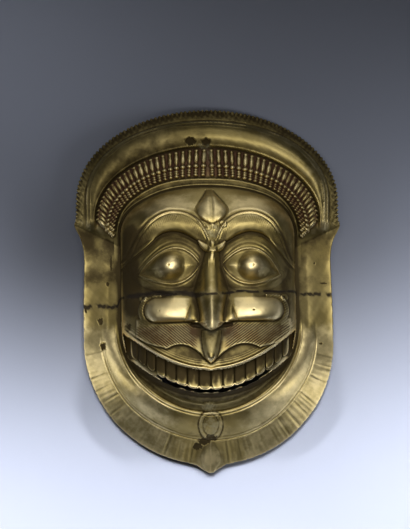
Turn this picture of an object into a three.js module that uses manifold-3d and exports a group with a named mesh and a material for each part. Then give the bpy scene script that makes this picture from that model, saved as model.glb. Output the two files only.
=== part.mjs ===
import * as THREE from "three";
import Module from "manifold-3d";

const wasm = await Module();
wasm.setup();

// Driving dimensions, in millimetres; the mask lies face up on its rim, crown toward +Y
const CROWN_HALF_WIDTH = 151.5;
const CROWN_CENTRE_Y = 105;
const CROWN_RISE = 104;
const CHIN_CENTRE_Y = -60;
const CHIN_RADIUS = 142;
const CHIN_POINT_DROP = 9.5;
const FLAP_HALF_WIDTH = 143.2;
const CORNER_SPIKE = 154.5;
const RIM_THICKNESS = 4;
const RIM_FLAT_WIDTH = 7;
const WALL = 4.6;
const EDGE_TOOTH_PITCH = 6.6;
const EDGE_TOOTH_DEPTH = 2.9;
const TIP_LEAN = 0.015;
const MOUTH_TILT = 0.022;
const BALUSTERS = 50;
const BALUSTER_WIDTH = 5.4;
const BALUSTER_LIFT = 4.2;
const THREAD_LIFT = 2.4;
const TOOTH_WIDTHS = [13.6, 13.2, 12.6, 12.0, 11.2, 10.4, 9.4, 8.2];
const TOOTH_LIFT = 5.4;
const TEETH_DEPTH = 14.5;
const EYE_X = 48.7;
const EYE_Y = 22;
const EYEBALL_RADIUS = 19.5;
const EYEBALL_RISE = 9.6;
const PUPIL_RADIUS = 1.3;
const NOSE_TIP_HEIGHT = 139.5;
const CHEEK_END_X = 66;
const CHEEK_Y = -28.7;
const CHEEK_RADIUS = 15;
const FORK_LIFT = 3.2;
const FRONT_POINTS = 1580;
const BACK_POINTS = 460;
const SAMPLE = 1.6;

// Rings of the mask: half width, where the curve leaves the straight side, rise and squareness
const RING_B = [139.5, 104, 90, 2.1];
const RING_C = [127.5, 82, 80.5, 2.0];
const RING_D = [107.5, 59, 70, 2.3];
const RING_E = [100.5, 59, 57.5, 2.3];
const JAW_B = [123, -50];
const JAW_D = [103, -41];

// Numbers along a line, joined by a smooth curve
const SIDE = [
  [-80, CHIN_RADIUS + 0.5], [-60, FLAP_HALF_WIDTH + 0.6], [-20, FLAP_HALF_WIDTH + 0.6],
  [20, FLAP_HALF_WIDTH - 0.6], [42, FLAP_HALF_WIDTH - 0.6], [58, FLAP_HALF_WIDTH + 2.6],
  [75, CORNER_SPIKE - 1], [82, 152.2], [95, 151.8], [108, CROWN_HALF_WIDTH],
];
const FACE_HEIGHT = [
  [-150, 96], [-97, 108], [-70, 107], [-40, 100], [0, 90], [28, 85], [60, 81], [90, 76], [120, 66],
];
const BROW_UP = [
  [3, 50], [4.5, 54.5], [12.7, 70.5], [25.9, 81.5], [42, 85.6], [55, 83.6], [69.5, 75], [78, 64.5],
  [84.6, 53], [89.7, 40.5], [95, 31.5], [101, 27],
];
const BROW_LOW = [
  [6, 47], [12.5, 49], [30.8, 59.7], [44.8, 62.8], [60, 58.8], [78.5, 41.5], [93, 28], [100, 23],
];
const NOSE_HALF_WIDTH = [
  [-60, 31], [-44, 31.5], [-38, 29], [-28, 25.5], [-16, 22.5], [-6, 21], [8, 17], [20, 13], [34, 10], [62, 8],
];
const NOSE_BODY = [[-60, 14], [-44, 14.4], [-30, 14.8], [-15, 16]];
const NOSE_BRIDGE = [
  [-20, 22], [-8, 20.5], [0, 18.5], [8, 16], [20, 12.5], [34, 9.5], [48, 8], [62, 7],
];
const NOSE_RIDGE = [
  [-62, 132], [-56, 137], [-50, NOSE_TIP_HEIGHT - 0.2], [-44, NOSE_TIP_HEIGHT - 0.5], [-36, 134],
  [-20, 122], [0, 108], [20, 97.5], [40, 89.5], [54, 84.5], [66, 81],
];
const PHILTRUM = [
  [-92, 1], [-87, 3.6], [-82, 6.4], [-77, 9], [-71, 11.2], [-64, 11.6], [-57, 9.5], [-48, 8],
];
const MOUSTACHE_LOW = [
  [0, -91], [9, -84], [14, -79], [24, -72.3], [33, -69.3], [43, -69.6], [50, -72], [53, -73.3],
  [57, -71.8], [66, -69.5], [75, -66], [84, -61], [90, -57],
];
const LOWER_LIP = [[0, 80], [30, 77], [60, 65], [85, 46], [100, 29]];
const BUD = [[0, 1.5], [3, 8], [8, 14], [14, 17], [20, 16.8], [27, 12.8], [33, 8.6], [38, 5.2], [41, 3.6]];
const BUD_FOOT_Y = 71;
const BUD_LENGTH = 41;

// How far the middle of the face stands right of the middle of the rim, at each height
const FACE_SHIFT = [
  [-90, 0], [-62, 0.6], [-50, 1.2], [0, 1.8], [22, 2.2], [38, 4], [50, 4.4], [70, 4.2], [100, 3.4], [122, 0],
];

function clamp(value, low, high) {
  return Math.min(high, Math.max(low, value));
}

function smooth(from, to, value) {
  const s = clamp((value - from) / (to - from), 0, 1);
  return s * s * (3 - 2 * s);
}

function bell(distance, width) {
  return Math.exp(-((distance / width) ** 2));
}

function slopeAt(points, i) {
  if (i === 0) return (points[1][1] - points[0][1]) / (points[1][0] - points[0][0]);
  const last = points.length - 1;
  if (i === last) return (points[i][1] - points[i - 1][1]) / (points[i][0] - points[i - 1][0]);
  return (points[i + 1][1] - points[i - 1][1]) / (points[i + 1][0] - points[i - 1][0]);
}

function along(points, value) {
  const t = clamp(value, points[0][0], points[points.length - 1][0]);
  let i = 0;
  while (i < points.length - 2 && t > points[i + 1][0]) i += 1;
  const h = points[i + 1][0] - points[i][0];
  const s = clamp((t - points[i][0]) / h, 0, 1);
  const from = points[i][1];
  const to = points[i + 1][1];
  const m0 = slopeAt(points, i) * h;
  const m1 = slopeAt(points, i + 1) * h;
  const s2 = s * s;
  const s3 = s2 * s;
  return (2 * s3 - 3 * s2 + 1) * from + (s3 - 2 * s2 + s) * m0 + (3 * s2 - 2 * s3) * to + (s3 - s2) * m1;
}

// How much longer a curve is than its run along x, close to a place
function stretch(points, value) {
  return Math.hypot(1, along(points, value + 0.5) - along(points, value - 0.5));
}

// How far a point lies inside a ring that is round at the top, straight at the sides, round below
function inset(x, y, halfWidth, topY, topRise, lowY, lowRise, squareness) {
  const up = Math.max(y - topY, 0) / topRise;
  const down = Math.max(lowY - y, 0) / lowRise;
  const n = squareness;
  const g = Math.max((Math.abs(x / halfWidth) ** n + (up + down) ** n) ** (1 / n), 1e-6);
  let dy = 0;
  if (y > topY) dy = y - topY;
  if (y < lowY) dy = y - lowY;
  if (g < 0.02) return Math.min(halfWidth, topRise);
  return Math.hypot(x, dy) * (1 / g - 1);
}

function outlineInset(x, y) {
  if (y > CROWN_CENTRE_Y) {
    return inset(x, y, CROWN_HALF_WIDTH, CROWN_CENTRE_Y, CROWN_RISE, CHIN_CENTRE_Y, 142, 2);
  }
  if (y > CHIN_CENTRE_Y) return along(SIDE, clamp(y, -80, 108)) - Math.abs(x);
  const round = inset(x, y, FLAP_HALF_WIDTH + 0.8, CROWN_CENTRE_Y, CROWN_RISE, CHIN_CENTRE_Y, CHIN_RADIUS, 2);
  return round + CHIN_POINT_DROP * bell(x, 12) * smooth(-150, -200, y);
}

function topInset(x, y, ring) {
  return inset(x, y, ring[0], ring[1], ring[2], -400, 1, ring[3]);
}

function jawInset(x, y, ring) {
  return inset(x, y, ring[0], 400, 1, ring[1], ring[0], 2);
}

// Height between neighbouring rings, each given by how far inside it the point lies
function between(insets, heights) {
  let z = heights[0];
  for (let k = 0; k < insets.length - 1; k += 1) {
    if (insets[k] > 0) {
      const t = clamp(insets[k] / Math.max(insets[k] - insets[k + 1], 1e-6), 0, 1);
      z = heights[k] + (heights[k + 1] - heights[k]) * t;
    }
  }
  return z;
}

function crownHeight(x, y) {
  const a = outlineInset(x, y);
  const b = topInset(x, y, RING_B);
  const c = topInset(x, y, RING_C);
  const d = topInset(x, y, RING_D);
  const e = topInset(x, y, RING_E);
  const rise = smooth(60, 150, y);
  const steps = [RIM_THICKNESS, 12 + 5 * rise, 16 + 9 * rise, 20 + 15 * rise, 21 + 21 * rise];
  let z = between([a, b, c, d, e], steps);
  if (b > 0 && c < 0) {
    const t = clamp(b / Math.max(b - c, 1e-6), 0, 1);
    z += 9.5 * Math.max(Math.sin(Math.PI * t ** 0.85), 0) ** 0.9 * (0.35 + 0.65 * rise);
  }
  return z;
}

function jawHeight(x, y) {
  const a = outlineInset(x, y);
  const b = jawInset(x, y, JAW_B);
  const d = jawInset(x, y, JAW_D);
  const deep = smooth(-45, -135, y);
  let z = between([a, b, d], [RIM_THICKNESS + 2 * deep, 13 + 15 * deep, 19 + 35 * deep]);
  if (b > 0 && d < 0) {
    const t = clamp(b / Math.max(b - d, 1e-6), 0, 1);
    z += 4 * Math.max(Math.sin(Math.PI * t), 0) ** 0.9;
  }
  return z;
}

function flapHeight(x, y) {
  const a = outlineInset(x, y);
  return RIM_THICKNESS + 9 * smooth(0, 34, a) + 6 * smooth(28, 44, a);
}

function ringHeight(x, y) {
  const crown = smooth(67, 77, y);
  const jaw = smooth(-30, -66, y);
  const side = flapHeight(x, y) * (1 - crown) * (1 - jaw);
  return side + crownHeight(x, y) * crown + jawHeight(x, y) * jaw;
}

function faceReach(x, y) {
  const up = Math.max(y - RING_E[1], 0) / RING_E[2];
  if (y > RING_E[1]) return (Math.abs(x / RING_E[0]) ** RING_E[3] + up ** RING_E[3]) ** (1 / RING_E[3]);
  if (y < JAW_D[1]) return Math.hypot(x / 101, (JAW_D[1] - y) / JAW_D[0]);
  return Math.abs(x) / (101 - 0.005 * (y - JAW_D[1]));
}

function domeHeight(x, y, base) {
  const g = Math.min(faceReach(x, y), 1);
  const top = clamp(Math.max(y - RING_E[1], 0) / RING_E[2] / Math.max(g, 1e-6), 0, 1) ** 2;
  const swell = Math.max(1 - g ** (3 - top), 0) ** (0.42 + 0.36 * top);
  return base + (along(FACE_HEIGHT, y) - base) * swell;
}

function lipY(x) {
  return -97.4 + 0.005 * x * x;
}

function teethY(x) {
  return -120 + 0.0052 * x * x;
}

function lowLipY(x) {
  return -123.2 + 0.005 * x * x;
}

function jawBase(y) {
  return 19 + 35 * smooth(-45, -135, y);
}

function lidLines(x) {
  const t = clamp((Math.abs(x) - 13) / 67.5, 0, 1);
  const chord = 23.5 - 11 * t;
  const up = chord + 24 * Math.max(4 * t * (1 - t), 0) ** 0.9;
  const low = chord - 17.8 * Math.max(Math.sin(Math.PI * t ** 0.75), 0) ** 0.95;
  return [up, low];
}

function lidInset(x, y) {
  const ax = Math.abs(x);
  const [up, low] = lidLines(x);
  const off = Math.abs(ax - clamp(ax, 13, 80.5));
  const gap = Math.max(y - up, low - y);
  if (off > 0) return -Math.hypot(off, Math.max(gap, 0));
  return -gap * 0.82;
}

// The raised band of the brow, the bulge round the eye and the ball
function browAndEye(x, y, start) {
  const ax = Math.abs(x);
  const bx = clamp(ax, 3, 101);
  const under = (along(BROW_UP, bx) - y) / stretch(BROW_UP, bx);
  const over = (y - along(BROW_LOW, bx)) / stretch(BROW_LOW, bx);
  const edge = smooth(104, 97, ax);
  let z = start + 3.2 * smooth(-2, 2, under) * smooth(-2, 2.5, over) * edge;
  z -= 1.2 * bell(over + 3.2, 2.4) * edge;
  const orbit = clamp(1 - ((ax - 47) / 45) ** 2 - ((y - 24) / 33) ** 2, 0, 1);
  const hollow = bell(Math.hypot((ax - 47) / 50, (y - 22) / 36) - 1, 0.28);
  z += 5.5 * orbit ** 0.7 - 6 * hollow * smooth(0, 16, ax);
  const lid = lidInset(x, y);
  z -= 2.2 * smooth(0.5, 3.5, lid);
  const r = Math.hypot(ax - EYE_X, y - EYE_Y) / EYEBALL_RADIUS;
  const ball = EYEBALL_RISE * Math.max(1 - r ** 2.4, 0) ** 1.7;
  if (lid > 0) z += ball * smooth(0, 2.5, lid) + 3.8 * smooth(0.3, 15, lid);
  return z;
}

// Distance from the middle with the wider right cheek and the narrower left one evened out
function cheekSide(x) {
  return Math.abs(x) / (1 + 0.052 * Math.tanh(x / 20));
}

// Distance from the middle line of the cheek, one at its border
function cheekReach(ax, y) {
  return Math.hypot(Math.max(ax - CHEEK_END_X, 0), y - CHEEK_Y) / CHEEK_RADIUS;
}

// Pads of the moustache under the cheeks
function moustacheCover(ax, y) {
  const over = (y - along(MOUSTACHE_LOW, clamp(ax, 0, 90))) / stretch(MOUSTACHE_LOW, clamp(ax, 0.5, 89));
  const outside = (cheekReach(ax, y) - 1) * CHEEK_RADIUS;
  const cover = smooth(-1, 0.6, over) * smooth(-0.8, 0.8, outside) * smooth(-36, -40, y);
  return cover * smooth(90, 88, ax) * smooth(97, 93, Math.hypot(ax, y + 41));
}

function cheekAndMoustache(x, y, start) {
  const ax = cheekSide(x);
  const up = Math.max(y - CHEEK_Y, 0);
  const end = Math.max(ax - CHEEK_END_X, 0) / CHEEK_RADIUS;
  const lower = Math.sqrt(Math.max(1 - cheekReach(ax, y) ** 2.6, 0));
  const upper = Math.sqrt(Math.max(1 - end ** 2.6, 0)) * Math.max(1 - (up / 25) ** 4, 0) ** 1.2;
  const crease = smooth(CHEEK_END_X - 22, CHEEK_END_X - 2, ax);
  const profile = y < CHEEK_Y ? lower : upper * (1 - crease) + lower * crease;
  const crest = 13 + 0.17 * (y - CHEEK_Y) - 3.2 * ((ax - 47) / 26) ** 2;
  return start + crest * profile * smooth(8, 22, ax) + 4 * moustacheCover(ax, y);
}

// A keeled ridge that widens to the tip, a wing each side of it, and the leaf under it
function nose(x, y, start) {
  const ax = Math.abs(x);
  let z = start;
  const width = along(NOSE_HALF_WIDTH, y);
  const ridge = along(NOSE_RIDGE, y);
  const body = along(NOSE_BODY, y);
  if (ax < width && y < 66) {
    const base = Math.min(z, ridge);
    const u = clamp(ax / body, 0, 1);
    const v = clamp(ax / along(NOSE_BRIDGE, y), 0, 1);
    const bulb = ridge - (ridge - base) * (0.26 * u ** 1.25 + 0.74 * u ** 6);
    const bridge = ridge - (ridge - base) * (0.3 * v ** 1.2 + 1.05 * v ** 2 - 0.35 * v ** 4);
    const tip = smooth(-7, -19, y);
    const out = clamp((ax - body) / Math.max(width - body, 1), 0, 1);
    const spread = 2 + 9 * smooth(-16, -44, y);
    const wing = base + spread * Math.max(1 - out ** 3.4, 0) ** 0.6 * smooth(-14, -26, y);
    const shape = Math.max(bridge * (1 - tip) + bulb * tip, wing);
    const wingFoot = -42.4 - 2.2 * smooth(31, 16, ax);
    const lowerEdge = ax < 16 ? -54.4 + 10.5 * (ax / 16) ** 1.6 : wingFoot;
    const under = smooth(-1.3, 1.1, y - lowerEdge) * smooth(66, 50, y);
    z += Math.max((shape - z) * under, 0);
  }
  const nostril = 1 - ((ax - 15.5) / 9.5) ** 2 - ((y + 47.8) / 2.7) ** 2;
  z -= 6 * Math.sqrt(Math.max(nostril, 0));
  if (y < -54 && y > -94) {
    const u = clamp(ax / along(PHILTRUM, y), 0, 1);
    z = Math.max(z, start + 10 * Math.sqrt(1 - u * u) * smooth(-94, -85, y));
  }
  return z;
}

function mouth(x, y, start, reach) {
  const slope = 1 / Math.hypot(1, 0.01 * x);
  const above = (y - lipY(x)) * slope;
  const rim = jawInset(x, y, JAW_D);
  const limit = 0.985 + 0.015 * smooth(-62, -80, y);
  if (above > -1.2 || reach > limit || rim < 0) return start;
  const lip = domeHeight(x, lipY(x) + 2, jawBase(lipY(x)));
  const below = (lowLipY(x) - y) * slope;
  const floor = lip - TEETH_DEPTH - 9 * smooth(86, 92, Math.abs(x));
  if (below < 0) return floor;
  const s = clamp(below / Math.max(below + rim, 1e-6), 0, 1);
  const edge = along(LOWER_LIP, Math.abs(x));
  return edge + (jawBase(y) - edge) * s - 2.5 * Math.sin(Math.PI * s) + 1.2 * bell(below - 1.5, 1.8);
}

function bud(x, y) {
  const up = y - BUD_FOOT_Y;
  if (up < 0 || up > BUD_LENGTH) return 0;
  const u = clamp(Math.abs(x) / along(BUD, up), 0, 1);
  const ends = clamp(up / 15, 0, 1) ** 0.55 * Math.sqrt(clamp((BUD_LENGTH - up) / 5, 0, 1));
  return 8 * Math.max(1 - u ** 2.2, 0) ** 0.55 * ends;
}

// The hand made mask leans: the chin point and the mouth are a little off the middle line
function faceShift(x, y) {
  return along(FACE_SHIFT, y) * smooth(99, 62, Math.abs(x));
}

function upright(px, py) {
  const x = px - TIP_LEAN * Math.max(60 - py, 0) - faceShift(px, py);
  const turn = smooth(40, -60, py) * smooth(125, 95, Math.abs(x)) * smooth(-170, -130, py);
  return [x, py - MOUTH_TILT * x * turn];
}

function leaning(x, y) {
  const turn = smooth(40, -60, y) * smooth(125, 95, Math.abs(x)) * smooth(-170, -130, y);
  return [x + TIP_LEAN * Math.max(60 - y, 0) + faceShift(x, y), y + MOUTH_TILT * x * turn];
}

function frontHeight(px, py) {
  const [x, y] = upright(px, py);
  let z = ringHeight(x, y);
  const reach = faceReach(x, y);
  if (reach < 1) {
    z = domeHeight(x, y, z);
    z = browAndEye(x, y, z);
    z = cheekAndMoustache(x, y, z);
    z = nose(x, y, z);
    z = mouth(x, y, z, reach);
    z += bud(x, y);
  }
  return Math.max(z, RIM_THICKNESS);
}

// A repeatable small offset, so that no three sample points stand in line
function scatter(i, j) {
  const s = Math.sin(i * 127.1 + j * 311.7) * 43758.5453;
  return s - Math.floor(s) - 0.5;
}

// A skin of triangles fitted to a height field, point by point where it is furthest off
class Skin {
  constructor(field, low, high, step, weight) {
    this.low = low;
    this.step = step;
    this.columns = Math.floor((high[0] - low[0]) / step) - 1;
    this.rows = Math.floor((high[1] - low[1]) / step) - 1;
    this.samples = [];
    for (let j = 0; j < this.rows; j += 1) {
      for (let i = 0; i < this.columns; i += 1) {
        const x = low[0] + (i + 1 + 0.5 * scatter(i, j)) * step;
        const y = low[1] + (j + 1 + 0.5 * scatter(j + 91, i + 17)) * step;
        const z = field(x, y);
        const slope = Math.hypot(field(x + 0.8, y) - z, field(x, y + 0.8) - z) / 0.8;
        this.samples.push([x, y, z, weight(x, y) / Math.hypot(1, slope)]);
      }
    }
    this.points = [
      [low[0], low[1], 4], [high[0], low[1], 4], [high[0], high[1], 4], [low[0], high[1], 4],
    ];
    this.triangles = [];
    this.addTriangle(0, 1, 2);
    this.addTriangle(0, 2, 3);
    this.triangles[0].near = [-1, -1, 1];
    this.triangles[1].near = [0, -1, -1];
    this.search(0);
    this.search(1);
  }

  addTriangle(a, b, c) {
    this.triangles.push({ v: [a, b, c], near: [-1, -1, -1], error: 0, best: null });
    return this.triangles.length - 1;
  }

  search(index) {
    const t = this.triangles[index];
    const [a, b, c] = t.v.map((v) => this.points[v]);
    t.error = 0;
    t.best = null;
    const i0 = Math.max(0, Math.floor((Math.min(a[0], b[0], c[0]) - this.low[0]) / this.step) - 2);
    const i1 = Math.min(this.columns - 1, Math.ceil((Math.max(a[0], b[0], c[0]) - this.low[0]) / this.step));
    const j0 = Math.max(0, Math.floor((Math.min(a[1], b[1], c[1]) - this.low[1]) / this.step) - 2);
    const j1 = Math.min(this.rows - 1, Math.ceil((Math.max(a[1], b[1], c[1]) - this.low[1]) / this.step));
    const area = (b[0] - a[0]) * (c[1] - a[1]) - (b[1] - a[1]) * (c[0] - a[0]);
    for (let j = j0; j <= j1; j += 1) {
      for (let i = i0; i <= i1; i += 1) {
        const s = this.samples[j * this.columns + i];
        const u = ((b[0] - s[0]) * (c[1] - s[1]) - (b[1] - s[1]) * (c[0] - s[0])) / area;
        const v = ((c[0] - s[0]) * (a[1] - s[1]) - (c[1] - s[1]) * (a[0] - s[0])) / area;
        const w = 1 - u - v;
        if (u > 0.001 && v > 0.001 && w > 0.001) {
          const off = Math.abs(u * a[2] + v * b[2] + w * c[2] - s[2]) * s[3];
          if (off > t.error) {
            t.error = off;
            t.best = s;
          }
        }
      }
    }
  }

  replaceNear(index, from, to) {
    if (index < 0) return;
    const near = this.triangles[index].near;
    for (let k = 0; k < 3; k += 1) if (near[k] === from) near[k] = to;
  }

  insert(index) {
    const t = this.triangles[index];
    const p = this.points.length;
    this.points.push([t.best[0], t.best[1], t.best[2]]);
    const [a, b, c] = t.v;
    const [nab, nbc, nca] = t.near;
    const second = this.addTriangle(b, c, p);
    const third = this.addTriangle(c, a, p);
    t.v = [a, b, p];
    t.near = [nab, second, third];
    this.triangles[second].near = [nbc, third, index];
    this.triangles[third].near = [nca, index, second];
    this.replaceNear(nbc, index, second);
    this.replaceNear(nca, index, third);
    const touched = new Set([index, second, third]);
    const queue = [[index, p], [second, p], [third, p]];
    while (queue.length) {
      const [at, apex] = queue.pop();
      const flipped = this.flip(at, apex);
      if (flipped >= 0) {
        touched.add(flipped);
        touched.add(at);
        queue.push([at, apex], [flipped, apex]);
      }
    }
    touched.forEach((k) => this.search(k));
  }

  flip(index, apex) {
    const t = this.triangles[index];
    const k = (t.v.indexOf(apex) + 1) % 3;
    const other = t.near[k];
    if (other < 0) return -1;
    const o = this.triangles[other];
    const a = t.v[k];
    const b = t.v[(k + 1) % 3];
    const m = o.v.findIndex((v) => v !== a && v !== b);
    const far = o.v[m];
    if (!this.inCircle(a, b, apex, far)) return -1;
    const nearBApex = t.near[(k + 1) % 3];
    const nearApexA = t.near[(k + 2) % 3];
    const nearFarB = o.near[m];
    const nearAFar = o.near[(m + 2) % 3];
    t.v = [apex, a, far];
    t.near = [nearApexA, nearAFar, other];
    o.v = [apex, far, b];
    o.near = [index, nearFarB, nearBApex];
    this.replaceNear(nearAFar, other, index);
    this.replaceNear(nearBApex, index, other);
    return other;
  }

  inCircle(ia, ib, ic, id) {
    const [a, b, c, d] = [ia, ib, ic, id].map((v) => this.points[v]);
    const ax = a[0] - d[0];
    const ay = a[1] - d[1];
    const bx = b[0] - d[0];
    const by = b[1] - d[1];
    const cx = c[0] - d[0];
    const cy = c[1] - d[1];
    const aa = ax * ax + ay * ay;
    const bb = bx * bx + by * by;
    const cc = cx * cx + cy * cy;
    const det = ax * (by * cc - bb * cy) - ay * (bx * cc - bb * cx) + aa * (bx * cy - by * cx);
    return det > 1e-7;
  }

  fit(count) {
    while (this.points.length < count) {
      let worst = 0;
      for (let k = 1; k < this.triangles.length; k += 1) {
        if (this.triangles[k].error > this.triangles[worst].error) worst = k;
      }
      if (!this.triangles[worst].best) return this;
      this.insert(worst);
    }
    return this;
  }

  solid(bottom) {
    const positions = this.points.flat();
    const base = this.points.length;
    for (let k = 0; k < 4; k += 1) positions.push(this.points[k][0], this.points[k][1], bottom);
    const faces = this.triangles.flatMap((t) => t.v);
    faces.push(base, base + 2, base + 1, base, base + 3, base + 2);
    for (let k = 0; k < 4; k += 1) {
      const n = (k + 1) % 4;
      faces.push(base + k, base + n, n, base + k, n, k);
    }
    return solidFrom(positions, faces);
  }
}

function solidFrom(positions, faces) {
  const mesh = new wasm.Mesh({
    numProp: 3,
    vertProperties: new Float32Array(positions),
    triVerts: new Uint32Array(faces),
  });
  mesh.merge();
  return new wasm.Manifold(mesh);
}

// A straight sided block over a plan, from one height to another
function block(plan, low, high) {
  const shape = new THREE.Shape(plan.map(([x, y]) => new THREE.Vector2(x, y)));
  const made = new THREE.ExtrudeGeometry(shape, { depth: high - low, bevelEnabled: false });
  made.translate(0, 0, low);
  const p = made.attributes.position.array;
  return solidFrom(Array.from(p), Array.from({ length: p.length / 3 }, (_, k) => k));
}

// Where a ray from a centre meets the outline, at a chosen distance inside it
function outlinePoint(angle, inside) {
  const centreY = -2;
  let near = 60;
  let far = 240;
  for (let k = 0; k < 40; k += 1) {
    const r = (near + far) / 2;
    if (outlineInset(r * Math.cos(angle), centreY + r * Math.sin(angle)) > inside) near = r;
    else far = r;
  }
  return [near * Math.cos(angle), centreY + near * Math.sin(angle)];
}

function outlinePlan(inside, toothed) {
  const dense = [];
  for (let k = 0; k < 1440; k += 1) dense.push(outlinePoint((k / 1440) * 2 * Math.PI, inside));
  const plan = [];
  let run = 0;
  let next = 0;
  let count = 0;
  dense.forEach(([x, y], k) => {
    const before = dense[(k + 1439) % 1440];
    run += Math.hypot(x - before[0], y - before[1]);
    const crown = toothed && y > 80;
    const corner = y > 40 && y < 80;
    const tip = y < -185;
    const pitch = crown ? EDGE_TOOTH_PITCH / 2 : corner || tip ? 4.5 : 11;
    if (run < next) return;
    run = 0;
    next = pitch;
    const dip = crown && count % 2 === 0 ? EDGE_TOOTH_DEPTH : 0;
    count += 1;
    const length = Math.hypot(x, y - CROWN_CENTRE_Y);
    const px = x - (dip * x) / length;
    const py = y - (dip * (y - CROWN_CENTRE_Y)) / length;
    plan.push(leaning(px, py));
  });
  const first = plan[0];
  const last = plan[plan.length - 1];
  if (Math.hypot(first[0] - last[0], first[1] - last[1]) < 2) plan.pop();
  return plan;
}

// A raised strip along a line on the front: a low roof with its foot sunk in the wall
function thread(line, width, lift, sink) {
  const positions = [];
  const faces = [];
  line.forEach(([x, y], k) => {
    const from = line[Math.max(k - 1, 0)];
    const to = line[Math.min(k + 1, line.length - 1)];
    const length = Math.hypot(to[0] - from[0], to[1] - from[1]);
    const nx = -(to[1] - from[1]) / length;
    const ny = (to[0] - from[0]) / length;
    const sides = [-0.5, 0, 0.5].map((s) => [x + nx * width * s, y + ny * width * s]);
    const heights = sides.map(([sx, sy]) => frontHeight(...leaning(sx, sy)));
    const foot = Math.min(...heights) - sink;
    const rises = [foot, Math.max(...heights) + lift, foot];
    sides.forEach(([sx, sy], i) => positions.push(...leaning(sx, sy), rises[i]));
  });
  const n = line.length;
  for (let k = 0; k < n - 1; k += 1) {
    for (let i = 0; i < 3; i += 1) {
      const a = 3 * k + i;
      const b = 3 * k + ((i + 1) % 3);
      faces.push(a, b, b + 3, a, b + 3, a + 3);
    }
  }
  faces.push(0, 2, 1);
  const e = 3 * (n - 1);
  faces.push(e, e + 1, e + 2);
  return upward(positions, faces);
}

function upward(positions, faces) {
  const made = solidFrom(positions, faces);
  if (made.volume() > 0) return made;
  const turned = [];
  for (let k = 0; k < faces.length; k += 3) turned.push(faces[k], faces[k + 2], faces[k + 1]);
  return solidFrom(positions, turned);
}

// A pad on the front: a plan with a lifted middle, its foot sunk in the wall
function pad(plan, middle, edgeLift, lift, sink) {
  const positions = [];
  const faces = [];
  const n = plan.length;
  let low = Infinity;
  plan.forEach(([x, y]) => {
    const z = frontHeight(...leaning(x, y));
    low = Math.min(low, z);
    positions.push(...leaning(x, y), z + edgeLift);
  });
  plan.forEach(([x, y]) => positions.push(...leaning(x, y), low - sink));
  positions.push(...leaning(...middle), frontHeight(...leaning(...middle)) + lift);
  positions.push(...leaning(...middle), low - sink);
  for (let k = 0; k < n; k += 1) {
    const m = (k + 1) % n;
    faces.push(k, m, 2 * n);
    faces.push(n + m, n + k, 2 * n + 1);
    faces.push(k, n + k, n + m, k, n + m, m);
  }
  return upward(positions, faces);
}

function ringLine(ring, inside, fromY, count) {
  const line = [];
  const half = ring[0] - inside;
  const rise = ring[2] - inside;
  const start = fromY < ring[1] ? 0 : Math.asin(clamp((fromY - ring[1]) / rise, 0, 1));
  if (fromY < ring[1]) line.push([half, fromY]);
  for (let k = 0; k <= count; k += 1) {
    const angle = start + ((Math.PI - 2 * start) * k) / count;
    const c = Math.cos(angle);
    const s = Math.sin(angle);
    const p = 2 / ring[3];
    line.push([half * Math.sign(c) * Math.abs(c) ** p, ring[1] + rise * Math.abs(s) ** p]);
  }
  if (fromY < ring[1]) line.push([-half, fromY]);
  return line;
}

function jawLine(ring, inside, fromAngle, toAngle, count) {
  const line = [];
  for (let k = 0; k <= count; k += 1) {
    const angle = fromAngle + ((toAngle - fromAngle) * k) / count;
    const r = ring[0] - inside;
    line.push([r * Math.cos(angle), ring[1] + r * Math.sin(angle)]);
  }
  return line;
}

function mirrored(line) {
  return line.map(([x, y]) => [-x, y]).reverse();
}

// The casting before anything is laid on it
const low = [-170, -224];
const high = [170, 222];
const edgeWeight = (x, y) => (outlineInset(...upright(x, y)) > -3 ? 1 : 0);
const front = new Skin(frontHeight, low, high, SAMPLE, edgeWeight).fit(FRONT_POINTS).solid(-6);
let mask = front.intersect(block(outlinePlan(0, true), 0, 240));

// Threads of the crown, the jaw, the lips, the lids and the brows
const added = [];
added.push(thread(ringLine(RING_B, 0.5, 80, 26), 4.4, THREAD_LIFT, 1));
added.push(thread(jawLine(JAW_D, -2.4, -0.12, -Math.PI + 0.12, 20), 5, THREAD_LIFT, 1));
const lipLine = [];
for (let k = 0; k <= 16; k += 1) {
  const x = -92 + (184 * k) / 16;
  lipLine.push([x, lipY(x) + 1.4]);
}
added.push(thread(lipLine, 5, 2.8, 1));
[0, 1].forEach((edge) => {
  const line = [];
  for (let k = 0; k <= 10; k += 1) {
    const x = 14 + (65.5 * k) / 10;
    line.push([x, lidLines(x)[edge]]);
  }
  added.push(thread(line, 3.6, 2.4, 2));
  added.push(thread(mirrored(line), 3.6, 2.4, 2));
});

// Balusters stand round the brow band, each a long body with a bead at its foot
const BAND_HEAD = [125.5, 82, 77.5, 2.0];
for (let k = 0; k < BALUSTERS; k += 1) {
  const share = (k + 0.5) / BALUSTERS;
  const angle = Math.PI * (0.5 - (share - 0.5) * 1.02);
  const c = Math.cos(angle);
  const s = Math.sin(angle);
  const head = [BAND_HEAD[0] * c, BAND_HEAD[1] + BAND_HEAD[2] * s];
  const p = 2 / RING_D[3];
  const foot = [
    (RING_D[0] + 1.6) * Math.sign(c) * Math.abs(c) ** p,
    RING_D[1] + 2.6 + (RING_D[2] + 1) * Math.abs(s) ** p * Math.sign(s),
  ];
  const dx = foot[0] - head[0];
  const dy = foot[1] - head[1];
  const length = Math.hypot(dx, dy);
  const ux = dx / length;
  const uy = dy / length;
  const at = (t, side) => [
    head[0] + ux * t * length - uy * side * BALUSTER_WIDTH,
    head[1] + uy * t * length + ux * side * BALUSTER_WIDTH,
  ];
  const body = [at(0, 0.42), at(1, 0.3), at(1, -0.3), at(0, -0.42)];
  added.push(pad(body, at(0.3, 0), 0.8, BALUSTER_LIFT, 1));
}

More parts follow.
